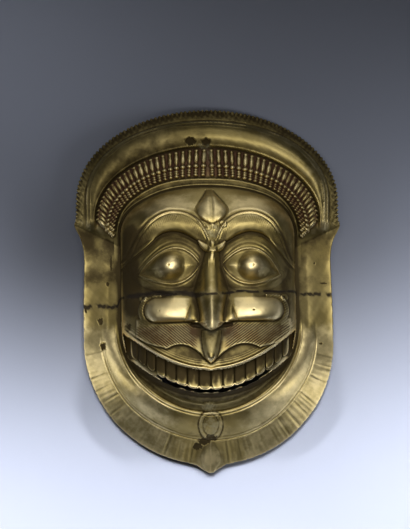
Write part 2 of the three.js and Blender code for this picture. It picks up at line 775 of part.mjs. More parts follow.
// Teeth in a bow under the upper lip
let toothFrom = 0;
TOOTH_WIDTHS.forEach((width) => {
  const a = toothFrom + 0.35;
  const b = toothFrom + width - 0.35;
  toothFrom += width;
  const m = (a + b) / 2;
  const plan = [
    [a, lipY(a) - 1.6], [a, teethY(a) + 4], [m - width * 0.28, teethY(m) + 0.8], [m + width * 0.28, teethY(m) + 0.8],
    [b, teethY(b) + 4], [b, lipY(b) - 1.6],
  ];
  const middle = [m, (lipY(m) + teethY(m)) / 2 - 1];
  added.push(pad(plan, middle, TOOTH_LIFT - 0.8, TOOTH_LIFT, 1.5));
  added.push(pad(mirrored(plan), [-middle[0], middle[1]], TOOTH_LIFT - 0.8, TOOTH_LIFT, 1.5));
});

// Chin ornament and the leaf that runs down to the point
const oval = [];
for (let k = 0; k < 14; k += 1) {
  const angle = (k / 14) * 2 * Math.PI;
  oval.push([12 * Math.cos(angle), -158 + 15 * Math.sin(angle)]);
}
added.push(pad(oval, [0, -158], 2.6, 3.4, 2));
const leaf = [[0, -174], [9, -186], [11, -196], [5, -207], [-5, -207], [-11, -196], [-9, -186]];
added.push(pad(leaf, [0, -193], 0.8, 3.2, 1.5));

// The forked leaf at the root of the nose
[-1, 1].forEach((side) => {
  const fork = [[0.6, 39], [6.2, 40.6], [12.4, 44.4], [15.6, 50.4], [9, 49.4], [3, 46.4]];
  const plan = fork.map(([x, y]) => [side * x, y]);
  added.push(pad(side > 0 ? plan : plan.reverse(), [side * 6.5, 44.6], 1.2, FORK_LIFT, 2));
});
mask = wasm.Manifold.union([mask, ...added]);

// The hollow behind the face, one wall thickness inside the front
const cell = 1.6;
const across = Math.round((high[0] - low[0]) / cell) + 1;
const aloft = Math.round((high[1] - low[1]) / cell) + 1;
const outer = new Float32Array(across * aloft);
for (let j = 0; j < aloft; j += 1) {
  for (let i = 0; i < across; i += 1) {
    outer[j * across + i] = frontHeight(low[0] + i * cell, low[1] + j * cell);
  }
}
const reachCells = Math.ceil(WALL / cell);
const ball = [];
for (let dj = -reachCells; dj <= reachCells; dj += 1) {
  for (let di = -reachCells; di <= reachCells; di += 1) {
    const r = Math.hypot(di, dj) * cell;
    if (r <= WALL) ball.push([di, dj, Math.sqrt(WALL * WALL - r * r)]);
  }
}
const inner = new Float32Array(across * aloft);
for (let j = 0; j < aloft; j += 1) {
  for (let i = 0; i < across; i += 1) {
    let z = Infinity;
    ball.forEach(([di, dj, fall]) => {
      const ni = clamp(i + di, 0, across - 1);
      const nj = clamp(j + dj, 0, aloft - 1);
      z = Math.min(z, outer[nj * across + ni] - fall);
    });
    inner[j * across + i] = Math.max(z, 0.7);
  }
}

function innerHeight(x, y) {
  const fi = clamp((x - low[0]) / cell, 0, across - 1.001);
  const fj = clamp((y - low[1]) / cell, 0, aloft - 1.001);
  const i = Math.floor(fi);
  const j = Math.floor(fj);
  const u = fi - i;
  const v = fj - j;
  const a = inner[j * across + i] * (1 - u) + inner[j * across + i + 1] * u;
  const b = inner[(j + 1) * across + i] * (1 - u) + inner[(j + 1) * across + i + 1] * u;
  return a * (1 - v) + b * v;
}

const hollowSkin = new Skin(innerHeight, low, high, 2.4, edgeWeight).fit(BACK_POINTS).solid(-8);
const hollow = hollowSkin.intersect(block(outlinePlan(RIM_FLAT_WIDTH, false), -7, 240));
mask = mask.subtract(hollow);

// The open slot between the teeth and the lower lip, and the drilled pupils
const slot = [];
for (let k = 0; k <= 12; k += 1) {
  const x = -62 + (130 * k) / 12;
  slot.push(leaning(x, teethY(x) + 0.4));
}
for (let k = 12; k >= 0; k -= 1) {
  const x = -62 + (130 * k) / 12;
  slot.push(leaning(x, lowLipY(x) - 0.1));
}
mask = mask.subtract(block(slot.reverse(), 20, 200));
[-1, 1].forEach((side) => {
  const plan = [];
  for (let k = 0; k < 8; k += 1) {
    const angle = (k / 8) * 2 * Math.PI;
    const x = side * EYE_X + PUPIL_RADIUS * Math.cos(angle);
    plan.push(leaning(x, EYE_Y + PUPIL_RADIUS * Math.sin(angle)));
  }
  const top = frontHeight(...leaning(side * EYE_X, EYE_Y));
  mask = mask.subtract(block(plan, top - 2.5, top + 5));
});

// The finished casting, moved so that its box stands over the origin
const parts = mask.decompose().sort((a, b) => b.volume() - a.volume());
const casting = parts[0];
const box = casting.boundingBox();
const middleX = (box.min[0] + box.max[0]) / 2;
const middleY = (box.min[1] + box.max[1]) / 2;
const data = casting.getMesh();
const vertices = new Float32Array(data.numVert * 3);
for (let k = 0; k < data.numVert; k += 1) {
  vertices[3 * k] = data.vertProperties[data.numProp * k] - middleX;
  vertices[3 * k + 1] = data.vertProperties[data.numProp * k + 1] - middleY;
  vertices[3 * k + 2] = data.vertProperties[data.numProp * k + 2] - box.min[2];
}
const geometry = new THREE.BufferGeometry();
geometry.setAttribute("position", new THREE.BufferAttribute(vertices, 3));
geometry.setIndex(new THREE.BufferAttribute(new Uint32Array(data.triVerts), 1));
geometry.computeVertexNormals();
const brass = new THREE.MeshStandardMaterial({ color: 0x8a7a3c, metalness: 1, roughness: 0.38 });
const node = new THREE.Mesh(geometry, brass);
node.name = "mask";

const group = new THREE.Group();
group.name = "spirit_mask";
group.add(node);

export default group;
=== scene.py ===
import bpy
import numpy as np
from mathutils import Matrix, Vector
from numpy import (
    arange, array, clip, concatenate, cos, cumsum, hypot, interp, linspace, maximum, minimum, pi,
    radians, sign, sin, sqrt, stack, tanh, where,
)


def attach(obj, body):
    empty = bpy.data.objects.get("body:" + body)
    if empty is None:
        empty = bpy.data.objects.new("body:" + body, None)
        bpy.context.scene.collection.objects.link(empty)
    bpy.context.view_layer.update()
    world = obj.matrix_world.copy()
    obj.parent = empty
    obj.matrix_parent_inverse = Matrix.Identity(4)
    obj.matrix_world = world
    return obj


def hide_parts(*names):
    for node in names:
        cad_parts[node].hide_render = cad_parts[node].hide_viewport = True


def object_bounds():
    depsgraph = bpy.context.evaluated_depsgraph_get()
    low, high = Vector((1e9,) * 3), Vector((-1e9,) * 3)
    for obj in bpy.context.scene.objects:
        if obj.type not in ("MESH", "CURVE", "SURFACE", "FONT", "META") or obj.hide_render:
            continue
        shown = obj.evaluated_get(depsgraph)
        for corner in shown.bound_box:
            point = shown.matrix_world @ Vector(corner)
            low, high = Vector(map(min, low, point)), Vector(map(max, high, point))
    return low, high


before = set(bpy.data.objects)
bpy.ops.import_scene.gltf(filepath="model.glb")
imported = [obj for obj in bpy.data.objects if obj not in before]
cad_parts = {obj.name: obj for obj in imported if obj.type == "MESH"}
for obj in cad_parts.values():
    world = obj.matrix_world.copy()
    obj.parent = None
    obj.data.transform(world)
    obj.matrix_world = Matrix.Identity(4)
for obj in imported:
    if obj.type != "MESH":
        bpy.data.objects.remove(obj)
solid_box = [[float(v) for v in corner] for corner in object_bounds()]

MM = 0.001  # a millimetre in the frame's metres
TINY = 1e-6  # keeps a division from being by nought
FAR_OUT = 400  # past every edge of the mask

# Sizes of the casting in millimetres: the solid's, a little finer where the solid's mesh is coarse.
# The mask is drawn upright about its own middle, crown to +Y and face to +Z; SHIFT moves it to the frame.
SHIFT_X, SHIFT_Y = -0.142, 1.222
CROWN_HALF_WIDTH, CROWN_CENTRE_Y, CROWN_RISE = 151.5, 105, 104
CHIN_CENTRE_Y, CHIN_HALF_WIDTH, CHIN_RADIUS, CHIN_POINT_DROP = -60, 144, 142, 9.5
RIM_THICKNESS, RIM_FLAT_WIDTH, WALL = 4, 7, 4.6
EDGE_TOOTH_PITCH, EDGE_TOOTH_DEPTH = 5, 2.6
TIP_LEAN, MOUTH_TILT = 0.015, 0.022
BALUSTERS = 50
TOOTH_WIDTHS = (13.6, 13.2, 12.6, 12, 11.2, 10.4, 9.4, 8.2)
TEETH_DEPTH = 13
EYE_X, EYE_Y = 48.7, 22
EYEBALL_RADIUS, EYEBALL_RISE, IRIS_RADIUS, PUPIL_RADIUS = 19.5, 8.2, 15.4, 1.3
LID_FROM_X, LID_TO_X, LID_CORNER_Y = 13, 80.5, 23.5
BROW_FROM_X, FACE_HALF_WIDTH = 3, 101
CHEEK_END_X, CHEEK_Y, CHEEK_RADIUS = 66, -28.7, 15
HATCH_PITCH = 2.4
SLOT_FROM, SLOT_TO = -62, 68

# Arches of the crown, from the roll's outer side in to the forehead: half width, foot, rise, squareness
RING_B = (139.5, 104, 90, 2.1)
RING_C = (127.5, 82, 80.5, 2)
RING_D = (107.5, 59, 70, 2.3)
RING_E = (100.5, 59, 57.5, 2.3)
# Outer and inner bow of the jaw: radius, middle
JAW_B = (123, -50)
JAW_D = (103, -41)

# Lines of the front as (place, value) pairs; heights and widths by y, brow, moustache and lip by x
SIDE = (
    (-80, 142.5), (-60, 143.8), (-20, 143.8), (20, 142.6), (42, 142.6), (58, 145.8),
    (75, 153.5), (82, 152.2), (95, 151.8), (108, 151.5),
)
FACE_HEIGHT = (
    (-150, 96), (-97, 108), (-70, 107), (-40, 100), (0, 90), (28, 85), (60, 81), (90, 76), (120, 66),
)
BROW_UP = (
    (3, 50), (4.5, 54.5), (12.7, 70.5), (25.9, 81.5), (42, 85.6), (55, 83.6), (69.5, 75), (78, 64.5),
    (84.6, 53), (89.7, 40.5), (95, 31.5), (101, 27),
)
BROW_LOW = ((6, 47), (12.5, 49), (30.8, 59.7), (44.8, 62.8), (60, 58.8), (78.5, 41.5), (93, 28), (100, 23))
NOSE_HALF_WIDTH = (
    (-60, 31), (-44, 31.5), (-38, 29), (-28, 25.5), (-16, 22.5), (-6, 21), (8, 17), (20, 13), (34, 10),
    (62, 8),
)
NOSE_RIDGE = (
    (-62, 136), (-56, 138.5), (-50, 139.3), (-44, 138), (-36, 133.2), (-20, 122), (0, 108), (20, 97.5),
    (40, 89.5), (54, 84.5), (66, 81),
)
NOSE_BODY = ((-60, 14.5), (-44, 15.2), (-30, 16.2), (-15, 18))
NOSE_BRIDGE = ((-20, 22), (-8, 20.5), (0, 18.5), (8, 16), (20, 12.5), (34, 9.5), (48, 8), (62, 7))
PHILTRUM = ((-91, 1), (-88, 4.2), (-84, 6.8), (-78, 8.8), (-67, 10.6), (-57, 11.6), (-48, 11))
MOUSTACHE_LOW = (
    (0, -91), (9, -84), (14, -79), (24, -72.3), (33, -69.3), (43, -69.6), (50, -72), (53, -73.3),
    (57, -71.8), (66, -69.5), (75, -66), (84, -61), (90, -57),
)
LOWER_LIP = ((0, 80), (30, 77), (60, 65), (85, 46), (100, 29))
BUD = ((0, 1.5), (3, 8), (8, 14), (14, 17), (20, 16.8), (27, 12.8), (33, 8.6), (38, 5.2), (41, 3.6))
BUD_FOOT_Y, BUD_LENGTH = 71, 41
TIP_LEAF = ((-212, 3), (-206, 7), (-198, 11.5), (-190, 11), (-182, 7), (-175, 2))
FACE_SHIFT = (
    (-90, 0), (-62, 0.6), (-50, 1.2), (0, 1.8), (22, 2.2), (38, 4), (50, 4.4), (70, 4.2), (100, 3.4),
    (122, 0),
)
# Laid-on leaves: tip x, y, foot x, y, half width, rise, bend
FORK = ((-16.4, 51.4, 0.5, 39, 4.2, 3, -1.9), (14.8, 50.4, -0.5, 39, 4.2, 3, 1.9))
TUFT = (
    (-17, 75.5, -3, 67.5, 2.6, 1.4, -0.6), (-11, 63.5, -2, 66.5, 2.4, 1.3, -0.4),
    (-7.5, 57, -1, 64, 2.2, 1.2, 0.5), (8.5, 58.5, 1, 65, 2.3, 1.2, -0.5),
)


def smooth(low, high, value):
    s = clip((value - low) / (high - low), 0, 1)
    return s * s * (3 - 2 * s)


def bell(distance, width):
    return np.exp(-((distance / width) ** 2))


def window(value, start, full, fading, end):
    """One between full and fading, nought before start and past end."""
    return smooth(start, full, value) * smooth(end, fading, value)


def patch(x, y, middle_x, middle_y, half_x, half_y):
    return bell(hypot((x - middle_x) / half_x, (y - middle_y) / half_y), 1)


def cap(value):
    """One where value is nought, rounding down to nought where it is one."""
    return sqrt(maximum(1 - value, 0))


def along(points, value):
    """Value on a smooth curve through (place, value) pairs."""
    p = array(points, float)
    value = clip(value, p[0, 0], p[-1, 0])
    i = clip(np.searchsorted(p[:, 0], value) - 1, 0, len(p) - 2)
    slope = np.empty(len(p))
    slope[1:-1] = (p[2:, 1] - p[:-2, 1]) / (p[2:, 0] - p[:-2, 0])
    slope[0] = (p[1, 1] - p[0, 1]) / (p[1, 0] - p[0, 0])
    slope[-1] = (p[-1, 1] - p[-2, 1]) / (p[-1, 0] - p[-2, 0])
    h = p[i + 1, 0] - p[i, 0]
    s = (value - p[i, 0]) / h
    s2, s3 = s * s, s * s * s
    return (
        (2 * s3 - 3 * s2 + 1) * p[i, 1] + (s3 - 2 * s2 + s) * slope[i] * h
        + (3 * s2 - 2 * s3) * p[i + 1, 1] + (s3 - s2) * slope[i + 1] * h
    )


def slope_along(points, value):
    return along(points, value + 0.5) - along(points, value - 0.5)


def roof(distance, width, lift):
    """A wax thread, half round in section."""
    return lift * cap((2 * distance / width) ** 2)


def wander(x, y, size, seed):
    """Slow unevenness of hand work, from -1 to 1."""
    a, b = x / size, y / size
    return 0.4 * (
        sin(1.7 * a + 2.3 * b + seed) + sin(2.9 * a - 1.3 * b + 2.1 * seed)
        + 0.5 * sin(4.1 * a + 3.7 * b + 3.3 * seed)
    )


def inset(x, y, half_width, top_y, top_rise, low_y, low_rise, squareness=2):
    """Distance in from an upright oval with straight sides, positive inside it."""
    up = maximum(y - top_y, 0) / top_rise
    down = maximum(low_y - y, 0) / low_rise
    n = squareness
    g = maximum((abs(x / half_width) ** n + (up + down) ** n) ** (1 / n), TINY)
    dy = where(y > top_y, y - top_y, where(y < low_y, y - low_y, 0))
    return where(g < 0.02, min(half_width, top_rise), hypot(x, dy) * (1 / g - 1))


def outline_inset(x, y):
    """Distance in from the edge of the whole mask."""
    ends = (CROWN_CENTRE_Y, CROWN_RISE, CHIN_CENTRE_Y, CHIN_RADIUS)
    crown, chin = inset(x, y, CROWN_HALF_WIDTH, *ends), inset(x, y, CHIN_HALF_WIDTH, *ends)
    side = along(SIDE, y) - abs(x)
    chin = chin + CHIN_POINT_DROP * bell(x, 12) * smooth(-150, -200, y)
    return where(y > CROWN_CENTRE_Y, crown, where(y > CHIN_CENTRE_Y, side, chin))


def top_inset(x, y, ring):
    return inset(x, y, ring[0], ring[1], ring[2], -FAR_OUT, 1, ring[3])


def jaw_inset(x, y, ring):
    return inset(x, y, ring[0], FAR_OUT, 1, ring[1], ring[0])


def between(insets, heights):
    """Straight slopes from one ring to the next."""
    z = heights[0] * np.ones_like(insets[0])
    for k in range(len(insets) - 1):
        t = clip(insets[k] / maximum(insets[k] - insets[k + 1], TINY), 0, 1)
        z = where(insets[k] > 0, heights[k] + (heights[k + 1] - heights[k]) * t, z)
    return z


def crown_height(x, y, threads):
    a = outline_inset(x, y)
    b, c, d, e = (top_inset(x, y, ring) for ring in (RING_B, RING_C, RING_D, RING_E))
    rise = smooth(60, 150, y)
    steps = (RIM_THICKNESS, 12 + 5 * rise, 16 + 9 * rise, 20 + 15 * rise, 21 + 21 * rise)
    z = between((a, b, c, d, e), steps)
    t = clip(b / maximum(b - c, TINY), 0, 1)
    roll = 9.5 * maximum(sin(pi * t ** 0.85), 0) ** 0.9 * (0.35 + 0.65 * rise)
    z = z + where((b > 0) & (c < 0), roll, 0)
    if threads:
        ends = smooth(68, 76, y)
        broken = 0.5 + 0.5 * smooth(-0.5, 0.2, wander(x, y, 24, 1))
        z = z + ends * (roof(b - 0.2, 2.2, 1.9) * broken - 0.6 * bell(b + 1.9, 0.8))
        z = z + ends * roof(b - 4.4 + 0.5 * wander(x, y, 18, 1), 1.4, 0.8) * broken
        z = z + ends * (roof(c + 3.2, 1.6, 0.9) * (0.3 + 0.7 * broken) - 0.8 * bell(c - 1.2, 2.2))
        z = z + smooth(30, 60, y) * (roof(d - 3, 2, 1.5) - 0.8 * bell(d - 0.8, 1.2))
        z = z + smooth(30, 60, y) * (roof(e + 3.4, 1.7, 1.2) - 0.5 * bell(e + 1.6, 0.8))
    return z


def jaw_height(x, y, threads):
    a = outline_inset(x, y)
    b, d = jaw_inset(x, y, JAW_B), jaw_inset(x, y, JAW_D)
    deep = smooth(-45, -135, y)
    z = between((a, b, d), (RIM_THICKNESS + 2 * deep, 13 + 15 * deep, jaw_base(y)))
    t = clip(b / maximum(b - d, TINY), 0, 1)
    z = z + where((b > 0) & (d < 0), 4 * maximum(sin(pi * t), 0) ** 0.9, 0)
    if threads:
        ends = smooth(-46, -88, y)
        z = z + ends * (roof(b - 0.4, 2, 0.9) + roof(b + 2.6, 1.5, 0.6) - 0.25 * bell(b + 1.2, 0.7))
        ends = smooth(-30, -60, y)
        z = z + ends * (roof(d + 1.6, 2, 1.2) + roof(d + 4.6, 1.7, 0.8) - 0.35 * bell(d + 3.2, 0.8))
        angle = np.arctan2(y - JAW_B[1], x)
        fringe = smooth(0.5, 3, -b) * smooth(0.2, 2, a) * smooth(-60, -80, y)
        stroke = sin(angle * 150 + 2.6 * wander(x, y, 42, 2))
        stroke = stroke * (0.6 + 0.4 * wander(angle * 40, 0.3 * a, 3, 7))
        z = z + 0.1 * fringe * stroke - 0.22 * fringe * maximum(sin(angle * 61 + 0.5) - 0.72, 0) / 0.28
    return z


def flap_height(x, y):
    a = outline_inset(x, y)
    return RIM_THICKNESS + 9 * smooth(0, 34, a) + 6 * smooth(28, 44, a)


def ring_height(x, y, threads):
    """Height of crown, flaps and jaw, blended where they meet."""
    crown = smooth(58, 79, y)
    jaw = smooth(-30, -66, y)
    side = flap_height(x, y) * (1 - crown) * (1 - jaw)
    return side + crown_height(x, y, threads) * crown + jaw_height(x, y, threads) * jaw


def face_reach(x, y):
    """Nought at the middle of the face, one at its border with the crown, the flaps and the jaw."""
    up = maximum(y - RING_E[1], 0) / RING_E[2]
    above = (abs(x / RING_E[0]) ** RING_E[3] + up ** RING_E[3]) ** (1 / RING_E[3])
    below = hypot(x / FACE_HALF_WIDTH, maximum(JAW_D[1] - y, 0) / JAW_D[0])
    beside = abs(x) / (FACE_HALF_WIDTH - 0.005 * (y - JAW_D[1]))
    return where(y > RING_E[1], above, where(y < JAW_D[1], below, beside))


def dome_height(x, y, base):
    g = minimum(face_reach(x, y), 1)
    top = clip(maximum(y - RING_E[1], 0) / RING_E[2] / maximum(g, TINY), 0, 1) ** 2
    swell = maximum(1 - g ** (3 - top), 0) ** (0.42 + 0.36 * top)
    return base + (along(FACE_HEIGHT, y) - base) * swell


def lip_y(x):
    """Lower edge of the upper lip."""
    return -97.4 + 0.005 * x * x


def teeth_y(x):
    return -120 + 0.0052 * x * x


def low_lip_y(x):
    return -123.2 + 0.005 * x * x


def jaw_base(y):
    """Height of the jaw where the face meets it."""
    return 19 + 35 * smooth(-45, -135, y)


def lid_lines(x):
    t = clip((abs(x) - LID_FROM_X) / (LID_TO_X - LID_FROM_X), 0, 1)
    chord = LID_CORNER_Y - 11 * t
    up = chord + 24 * maximum(4 * t * (1 - t), 0) ** 0.9
    low = chord - 17.8 * maximum(sin(pi * t ** 0.75), 0) ** 0.95
    return up, low


def lid_inset(x, y):
    ax = abs(x)
    up, low = lid_lines(x)
    off = abs(ax - clip(ax, LID_FROM_X, LID_TO_X))
    gap = maximum(y - up, low - y)
    return where(off > 0, -hypot(off, maximum(gap, 0)), -gap * 0.82)


def eye_hollow_reach(ax, y):
    """One on the deepest line of the hollow round the eye."""
    return hypot((ax - 47) / 50, (y - 22) / 36)


def brow_and_eye(x, y, z, fine):
    ax = abs(x)
    bx = clip(ax, BROW_FROM_X, FACE_HALF_WIDTH)
    up, low = along(BROW_UP, bx), along(BROW_LOW, bx)
    cos_up = 1 / sqrt(1 + slope_along(BROW_UP, bx) ** 2)
    cos_low = 1 / sqrt(1 + slope_along(BROW_LOW, bx) ** 2)
    under = (up - y) * cos_up
    over = (y - low) * cos_low
    edge = smooth(104, 97, ax)
    inner = smooth(5, 9, ax)
    z = z + 3.2 * smooth(-2, 2, under) * smooth(-2, 2.5, over) * edge
    z = z - 1.2 * bell(over + 3.2, 2.4) * edge
    if fine:
        lines = roof(under - 0.3, 2.4, 0.4) - 1.2 * bell(under - 2.6, 0.9)
        z = z + edge * (lines + 0.5 * bell(under + 5.2, 1.8) - 0.5 * bell(under + 2.6, 1))
        lines = 0.9 * bell(over - 0.3, 1) - 1.1 * bell(over + 1.5, 0.9) + bell(over + 5, 1.9)
        z = z + edge * lines * inner
        band = smooth(3.2, 5, under) * smooth(0.8, 3, over) * edge
        across = ax + 0.45 * (y - up) * sign(ax - 40)
        stroke = sin(2 * pi * across / 2.6 + 0.8 * wander(x, y, 9, 4))
        z = z - 0.6 * band * (0.5 - 0.5 * stroke) * smooth(10, 5, under - 4)
    orbit = clip(1 - ((ax - 47) / 45) ** 2 - ((y - 24) / 33) ** 2, 0, 1)
    hollow = bell(eye_hollow_reach(ax, y) - 1, 0.28)
    z = z + 5.5 * orbit ** 0.7 - 6 * hollow * smooth(0, 16, ax)
    lid = lid_inset(x, y)
    if fine:
        z = z - 0.9 * bell(lid + 5.6, 1.3) * smooth(8, 22, y)
        z = z - 0.55 * bell(lid + 2.1, 0.7) + roof(lid + 0.4, 1.9, 0.3)
        z = z - 0.7 * bell(lid - 1.7, 0.9) * (lid > 0)
    z = z - 2.2 * smooth(0.5, 3.5, lid)
    lens = 3.8 * smooth(0.3, 15, lid)
    from_pupil = hypot(ax - EYE_X, y - EYE_Y)
    r = from_pupil / EYEBALL_RADIUS
    ball = EYEBALL_RISE * maximum(1 - r ** 2.1, 0) ** 1.6
    z = z + where(lid > 0, ball * smooth(0, 2.5, lid) + lens, 0)
    if fine:
        z = z - 0.15 * bell(from_pupil - IRIS_RADIUS, 0.6) * (lid > 1)
        z = z - 1.6 * maximum(1 - (from_pupil / PUPIL_RADIUS) ** 2, 0)
    return z


def cheek_side(x):
    """Distance from the middle, with the wider right cheek and the narrower left one evened out."""
    return abs(x) / (1 + 0.052 * tanh(x / 20))


def cheek_reach(ax, y):
    """Distance from the middle line of the cheek, one at its border."""
    return hypot(maximum(ax - CHEEK_END_X, 0), y - CHEEK_Y) / CHEEK_RADIUS


def moustache_mask(x, y):
    """How far the moustache covers a point, and the distances past the cheek and over the lower edge."""
    ax = cheek_side(x)
    low = along(MOUSTACHE_LOW, ax)
    cos_low = 1 / sqrt(1 + slope_along(MOUSTACHE_LOW, clip(ax, 0.5, 89)) ** 2)
    outside_cheek = (cheek_reach(ax, y) - 1) * CHEEK_RADIUS
    over = (y - low) * cos_low
    pad = smooth(-0.5, 0.5, over) * smooth(-0.4, 0.6, outside_cheek) * smooth(-36, -40, y)
    pad = pad * smooth(90, 88, ax) * smooth(97, 93, hypot(ax, y + 41))
    tail = smooth(3.4, 2.4, abs(outside_cheek - 2.6)) * (ax > 60) * (y < -11) * smooth(-50, -44, y)
    return maximum(pad, tail), outside_cheek, over


def hatching(x, y):
    """Fine strokes across the moustache: one in a cut, nought between two."""
    run = cheek_side(x) * 0.62 - y * 0.78
    return 0.5 - 0.5 * sin(2 * pi * run / HATCH_PITCH + 0.7 * wander(x, y, 14, 3))


def cheek_and_moustache(x, y, z, fine):
    ax = cheek_side(x)
    up = maximum(y - CHEEK_Y, 0)
    lower = maximum(1 - cheek_reach(ax, y) ** 3.6, 0) ** 0.62
    upper = maximum(1 - (maximum(ax - CHEEK_END_X, 0) / CHEEK_RADIUS) ** 3.6, 0) ** 0.6
    upper = upper * maximum(1 - (up / 25) ** 4, 0) ** 1.2
    crease = smooth(CHEEK_END_X - 22, CHEEK_END_X - 2, ax)
    profile = where(y < CHEEK_Y, lower, upper * (1 - crease) + lower * crease)
    crest = 12.5 + 0.02 * (y - CHEEK_Y) + 0.13 * (ax - 47) - 3.6 * ((ax - 47) / 26) ** 2
    z = z + crest * profile * smooth(8, 22, ax)
    cover, outside_cheek, over = moustache_mask(x, y)
    z = z + 4 * cover
    if fine:
        z = z - 0.9 * hatching(x, y) * cover * smooth(0.8, 2.4, over) * smooth(18, 28, ax) * (ax < 86)
        z = z - 1.6 * bell(outside_cheek + 0.2, 0.9) * smooth(24, 32, ax) * smooth(-18, -24, y)
        curl = hypot(ax - 81.5, y + 14)
        z = z + 2.4 * cap(((curl - 2.7) / 1.9) ** 2) - 1.2 * bell(curl, 1.1)
    return z


def nose(x, y, z):
    """A keeled ridge that widens to the tip, and a wing each side of it."""
    ax = abs(x)
    width, ridge, body = along(NOSE_HALF_WIDTH, y), along(NOSE_RIDGE, y), along(NOSE_BODY, y)
    low = minimum(z, ridge)
    u, v = clip(ax / body, 0, 1), clip(ax / along(NOSE_BRIDGE, y), 0, 1)
    bulb = ridge - (ridge - low) * (0.42 * u ** 1.4 + 0.58 * u ** 5)
    bridge = ridge - (ridge - low) * v ** 2.4
    tip = smooth(-7, -19, y)
    body_shape = bridge * (1 - tip) + bulb * tip
    out = clip((ax - body) / maximum(width - body, 1), 0, 1)
    flare = smooth(-17, -30, y)
    wing = low + (2 + 7.6 * smooth(-16, -44, y)) * maximum(1 - out ** 2.6, 0) ** 0.75 * flare
    shape = maximum(body_shape, wing)
    wing_foot = -42.4 - 2.2 * smooth(31, 16, ax)
    lower_edge = where(ax < 16, -54.4 + 10.5 * (ax / 16) ** 1.6, wing_foot)
    under = smooth(-1.3, 1.1, y - lower_edge) * smooth(66, 50, y)
    z = z + where((ax < width) & (y < 66), maximum((shape - z) * under, 0), 0)
    nostril = 1 - ((ax - 15.5) / 9.5) ** 2 - ((y + 47.8 - 0.12 * (ax - 15.5)) / 2.7) ** 2
    return z - 6 * sqrt(maximum(nostril, 0))


def philtrum(x, y, z, before):
    """The keeled leaf between nose and lip, laid over what was there before the nose."""
    ax = abs(x)
    half = along(PHILTRUM, y)
    u = clip(ax / half, 0, 1)
    rise = 9.5 * cap(u * u) * smooth(-93, -85, y)
    rise = rise - 0.6 * bell(u - 0.78, 0.07) * (y > -90)
    return where((y < -54) & (y > -94), maximum(z, before + rise), z)


def mouth(x, y, z, fine):
    slope = 1 / hypot(1, 0.01 * x)
    above = (y - lip_y(x)) * slope
    rim = jaw_inset(x, y, JAW_D)
    reach = face_reach(x, y)
    open_mouth = (above < -1.2) & (reach < 0.985 + 0.015 * smooth(-62, -80, y)) & (rim > 0)
    if fine:
        ends = smooth(99, 94, abs(x))
        on_lip = above + 1.6 * bell(x, 4.5)
        lips = roof(on_lip - 1, 2.6, 2.2) + roof(on_lip - 4.3, 1.9, 1.2) - 0.9 * bell(on_lip - 2.7, 0.7)
        lips = lips + roof(on_lip - 7.4, 1.3, 0.6) + roof(on_lip - 9.6, 1.2, 0.4)
        lips = lips + 1.2 * bell(on_lip - 5, 4)
        z = z + where((above > -1.2) & (reach < 1), lips * ends, 0)
    lip = dome_height(x, lip_y(x) + 2, jaw_base(lip_y(x)))
    below = (low_lip_y(x) - y) * slope
    floor = lip - TEETH_DEPTH - 3 * fine - 9 * smooth(86, 92, abs(x))
    s = clip(below / maximum(below + rim, TINY), 0, 1)
    edge = along(LOWER_LIP, abs(x))
    jaw = edge + (jaw_base(y) - edge) * s - 2.5 * sin(pi * s) + 1.2 * bell(below - 1.5, 1.8)
    if fine:
        jaw = jaw + 1.2 * bell(below - 12 * (1 - (x / 108) ** 2), 1.5) + 0.7 * bell(below - 6, 1.2)
        jaw = jaw - 1.4 * bell(rim - 0.6, 1.6)
    return where(open_mouth, where(below < 0, floor, jaw), z)


def bud(x, y, fine):
    up = y - BUD_FOOT_Y
    half = along(BUD, clip(up, 0, BUD_LENGTH))
    u = clip(abs(x) / half, 0, 1)
    ends = clip(1 - (1 - clip(up / 26, 0, 1)) ** 2.4, 0, 1) ** 0.7
    ends = ends * sqrt(clip((BUD_LENGTH - up) / 9, 0, 1))
    rise = 6.6 * maximum(1 - u ** 2.3, 0) ** 0.65 * ends
    if fine:
        rise = rise * (1 - 0.16 * bell(x, 2.4))
        edge = abs(x) - half
        rise = rise - 1.3 * bell(edge - 0.9, 0.8) * (up > -1.5) * (up < BUD_LENGTH + 0.5)
    return where((up > -1.5) & (up < BUD_LENGTH + 0.5), rise, 0)


def leaf_blade(x, y, blade):
    """One laid-on leaf, from its tip to its foot."""
    tip_x, tip_y, foot_x, foot_y, half, lift, bend = blade
    length = hypot(foot_x - tip_x, foot_y - tip_y)
    c, s = (foot_x - tip_x) / length, (foot_y - tip_y) / length
    run = (x - tip_x) * c + (y - tip_y) * s
    t = clip(run / length, 0, 1)
    off = (y - tip_y) * c - (x - tip_x) * s - bend * 4 * t * (1 - t)
    wide = half * sin(pi * (0.04 + 0.76 * t)) ** 0.8
    return lift * cap((off / wide) ** 2) * (run > 0) * (run < length)


def leaves(x, y, blades):
    return maximum.reduce([leaf_blade(x, y, blade) for blade in blades])


def root_leaves(x, y):
    """Forked leaf at the root of the nose, broken tuft under the bud, twin lines down the bridge."""
    leaf = leaves(x, y, TUFT + FORK)
    tuft = 1.6 * sqrt(maximum(1 - (x / 7.5) ** 2 - ((y - 64) / 6.5) ** 2, 0))
    tuft = tuft * (0.75 + 0.25 * wander(x, y, 3, 2))
    shell_reach = hypot(x - 12.6, y - 70.5)
    shell = 1.6 * cap(((shell_reach - 2.9) / 1.6) ** 2)
    stem = 1.7 * cap((x / 3) ** 2) * window(y, 24, 36, 49, 53)
    rise = maximum(maximum(leaf, tuft), maximum(shell, stem))
    lost = bell(hypot(x - 2.5, (y - 56) * 0.9), 4.2)
    lines = roof(abs(x) - 3.9, 1.5, 0.5) * window(y, 16, 26, 38, 42)
    ground = along(NOSE_RIDGE, y) - 0.3 * abs(x) - 1
    return rise * (1 - lost) - 1.8 * lost * (lost > 0.1) + lines, ground


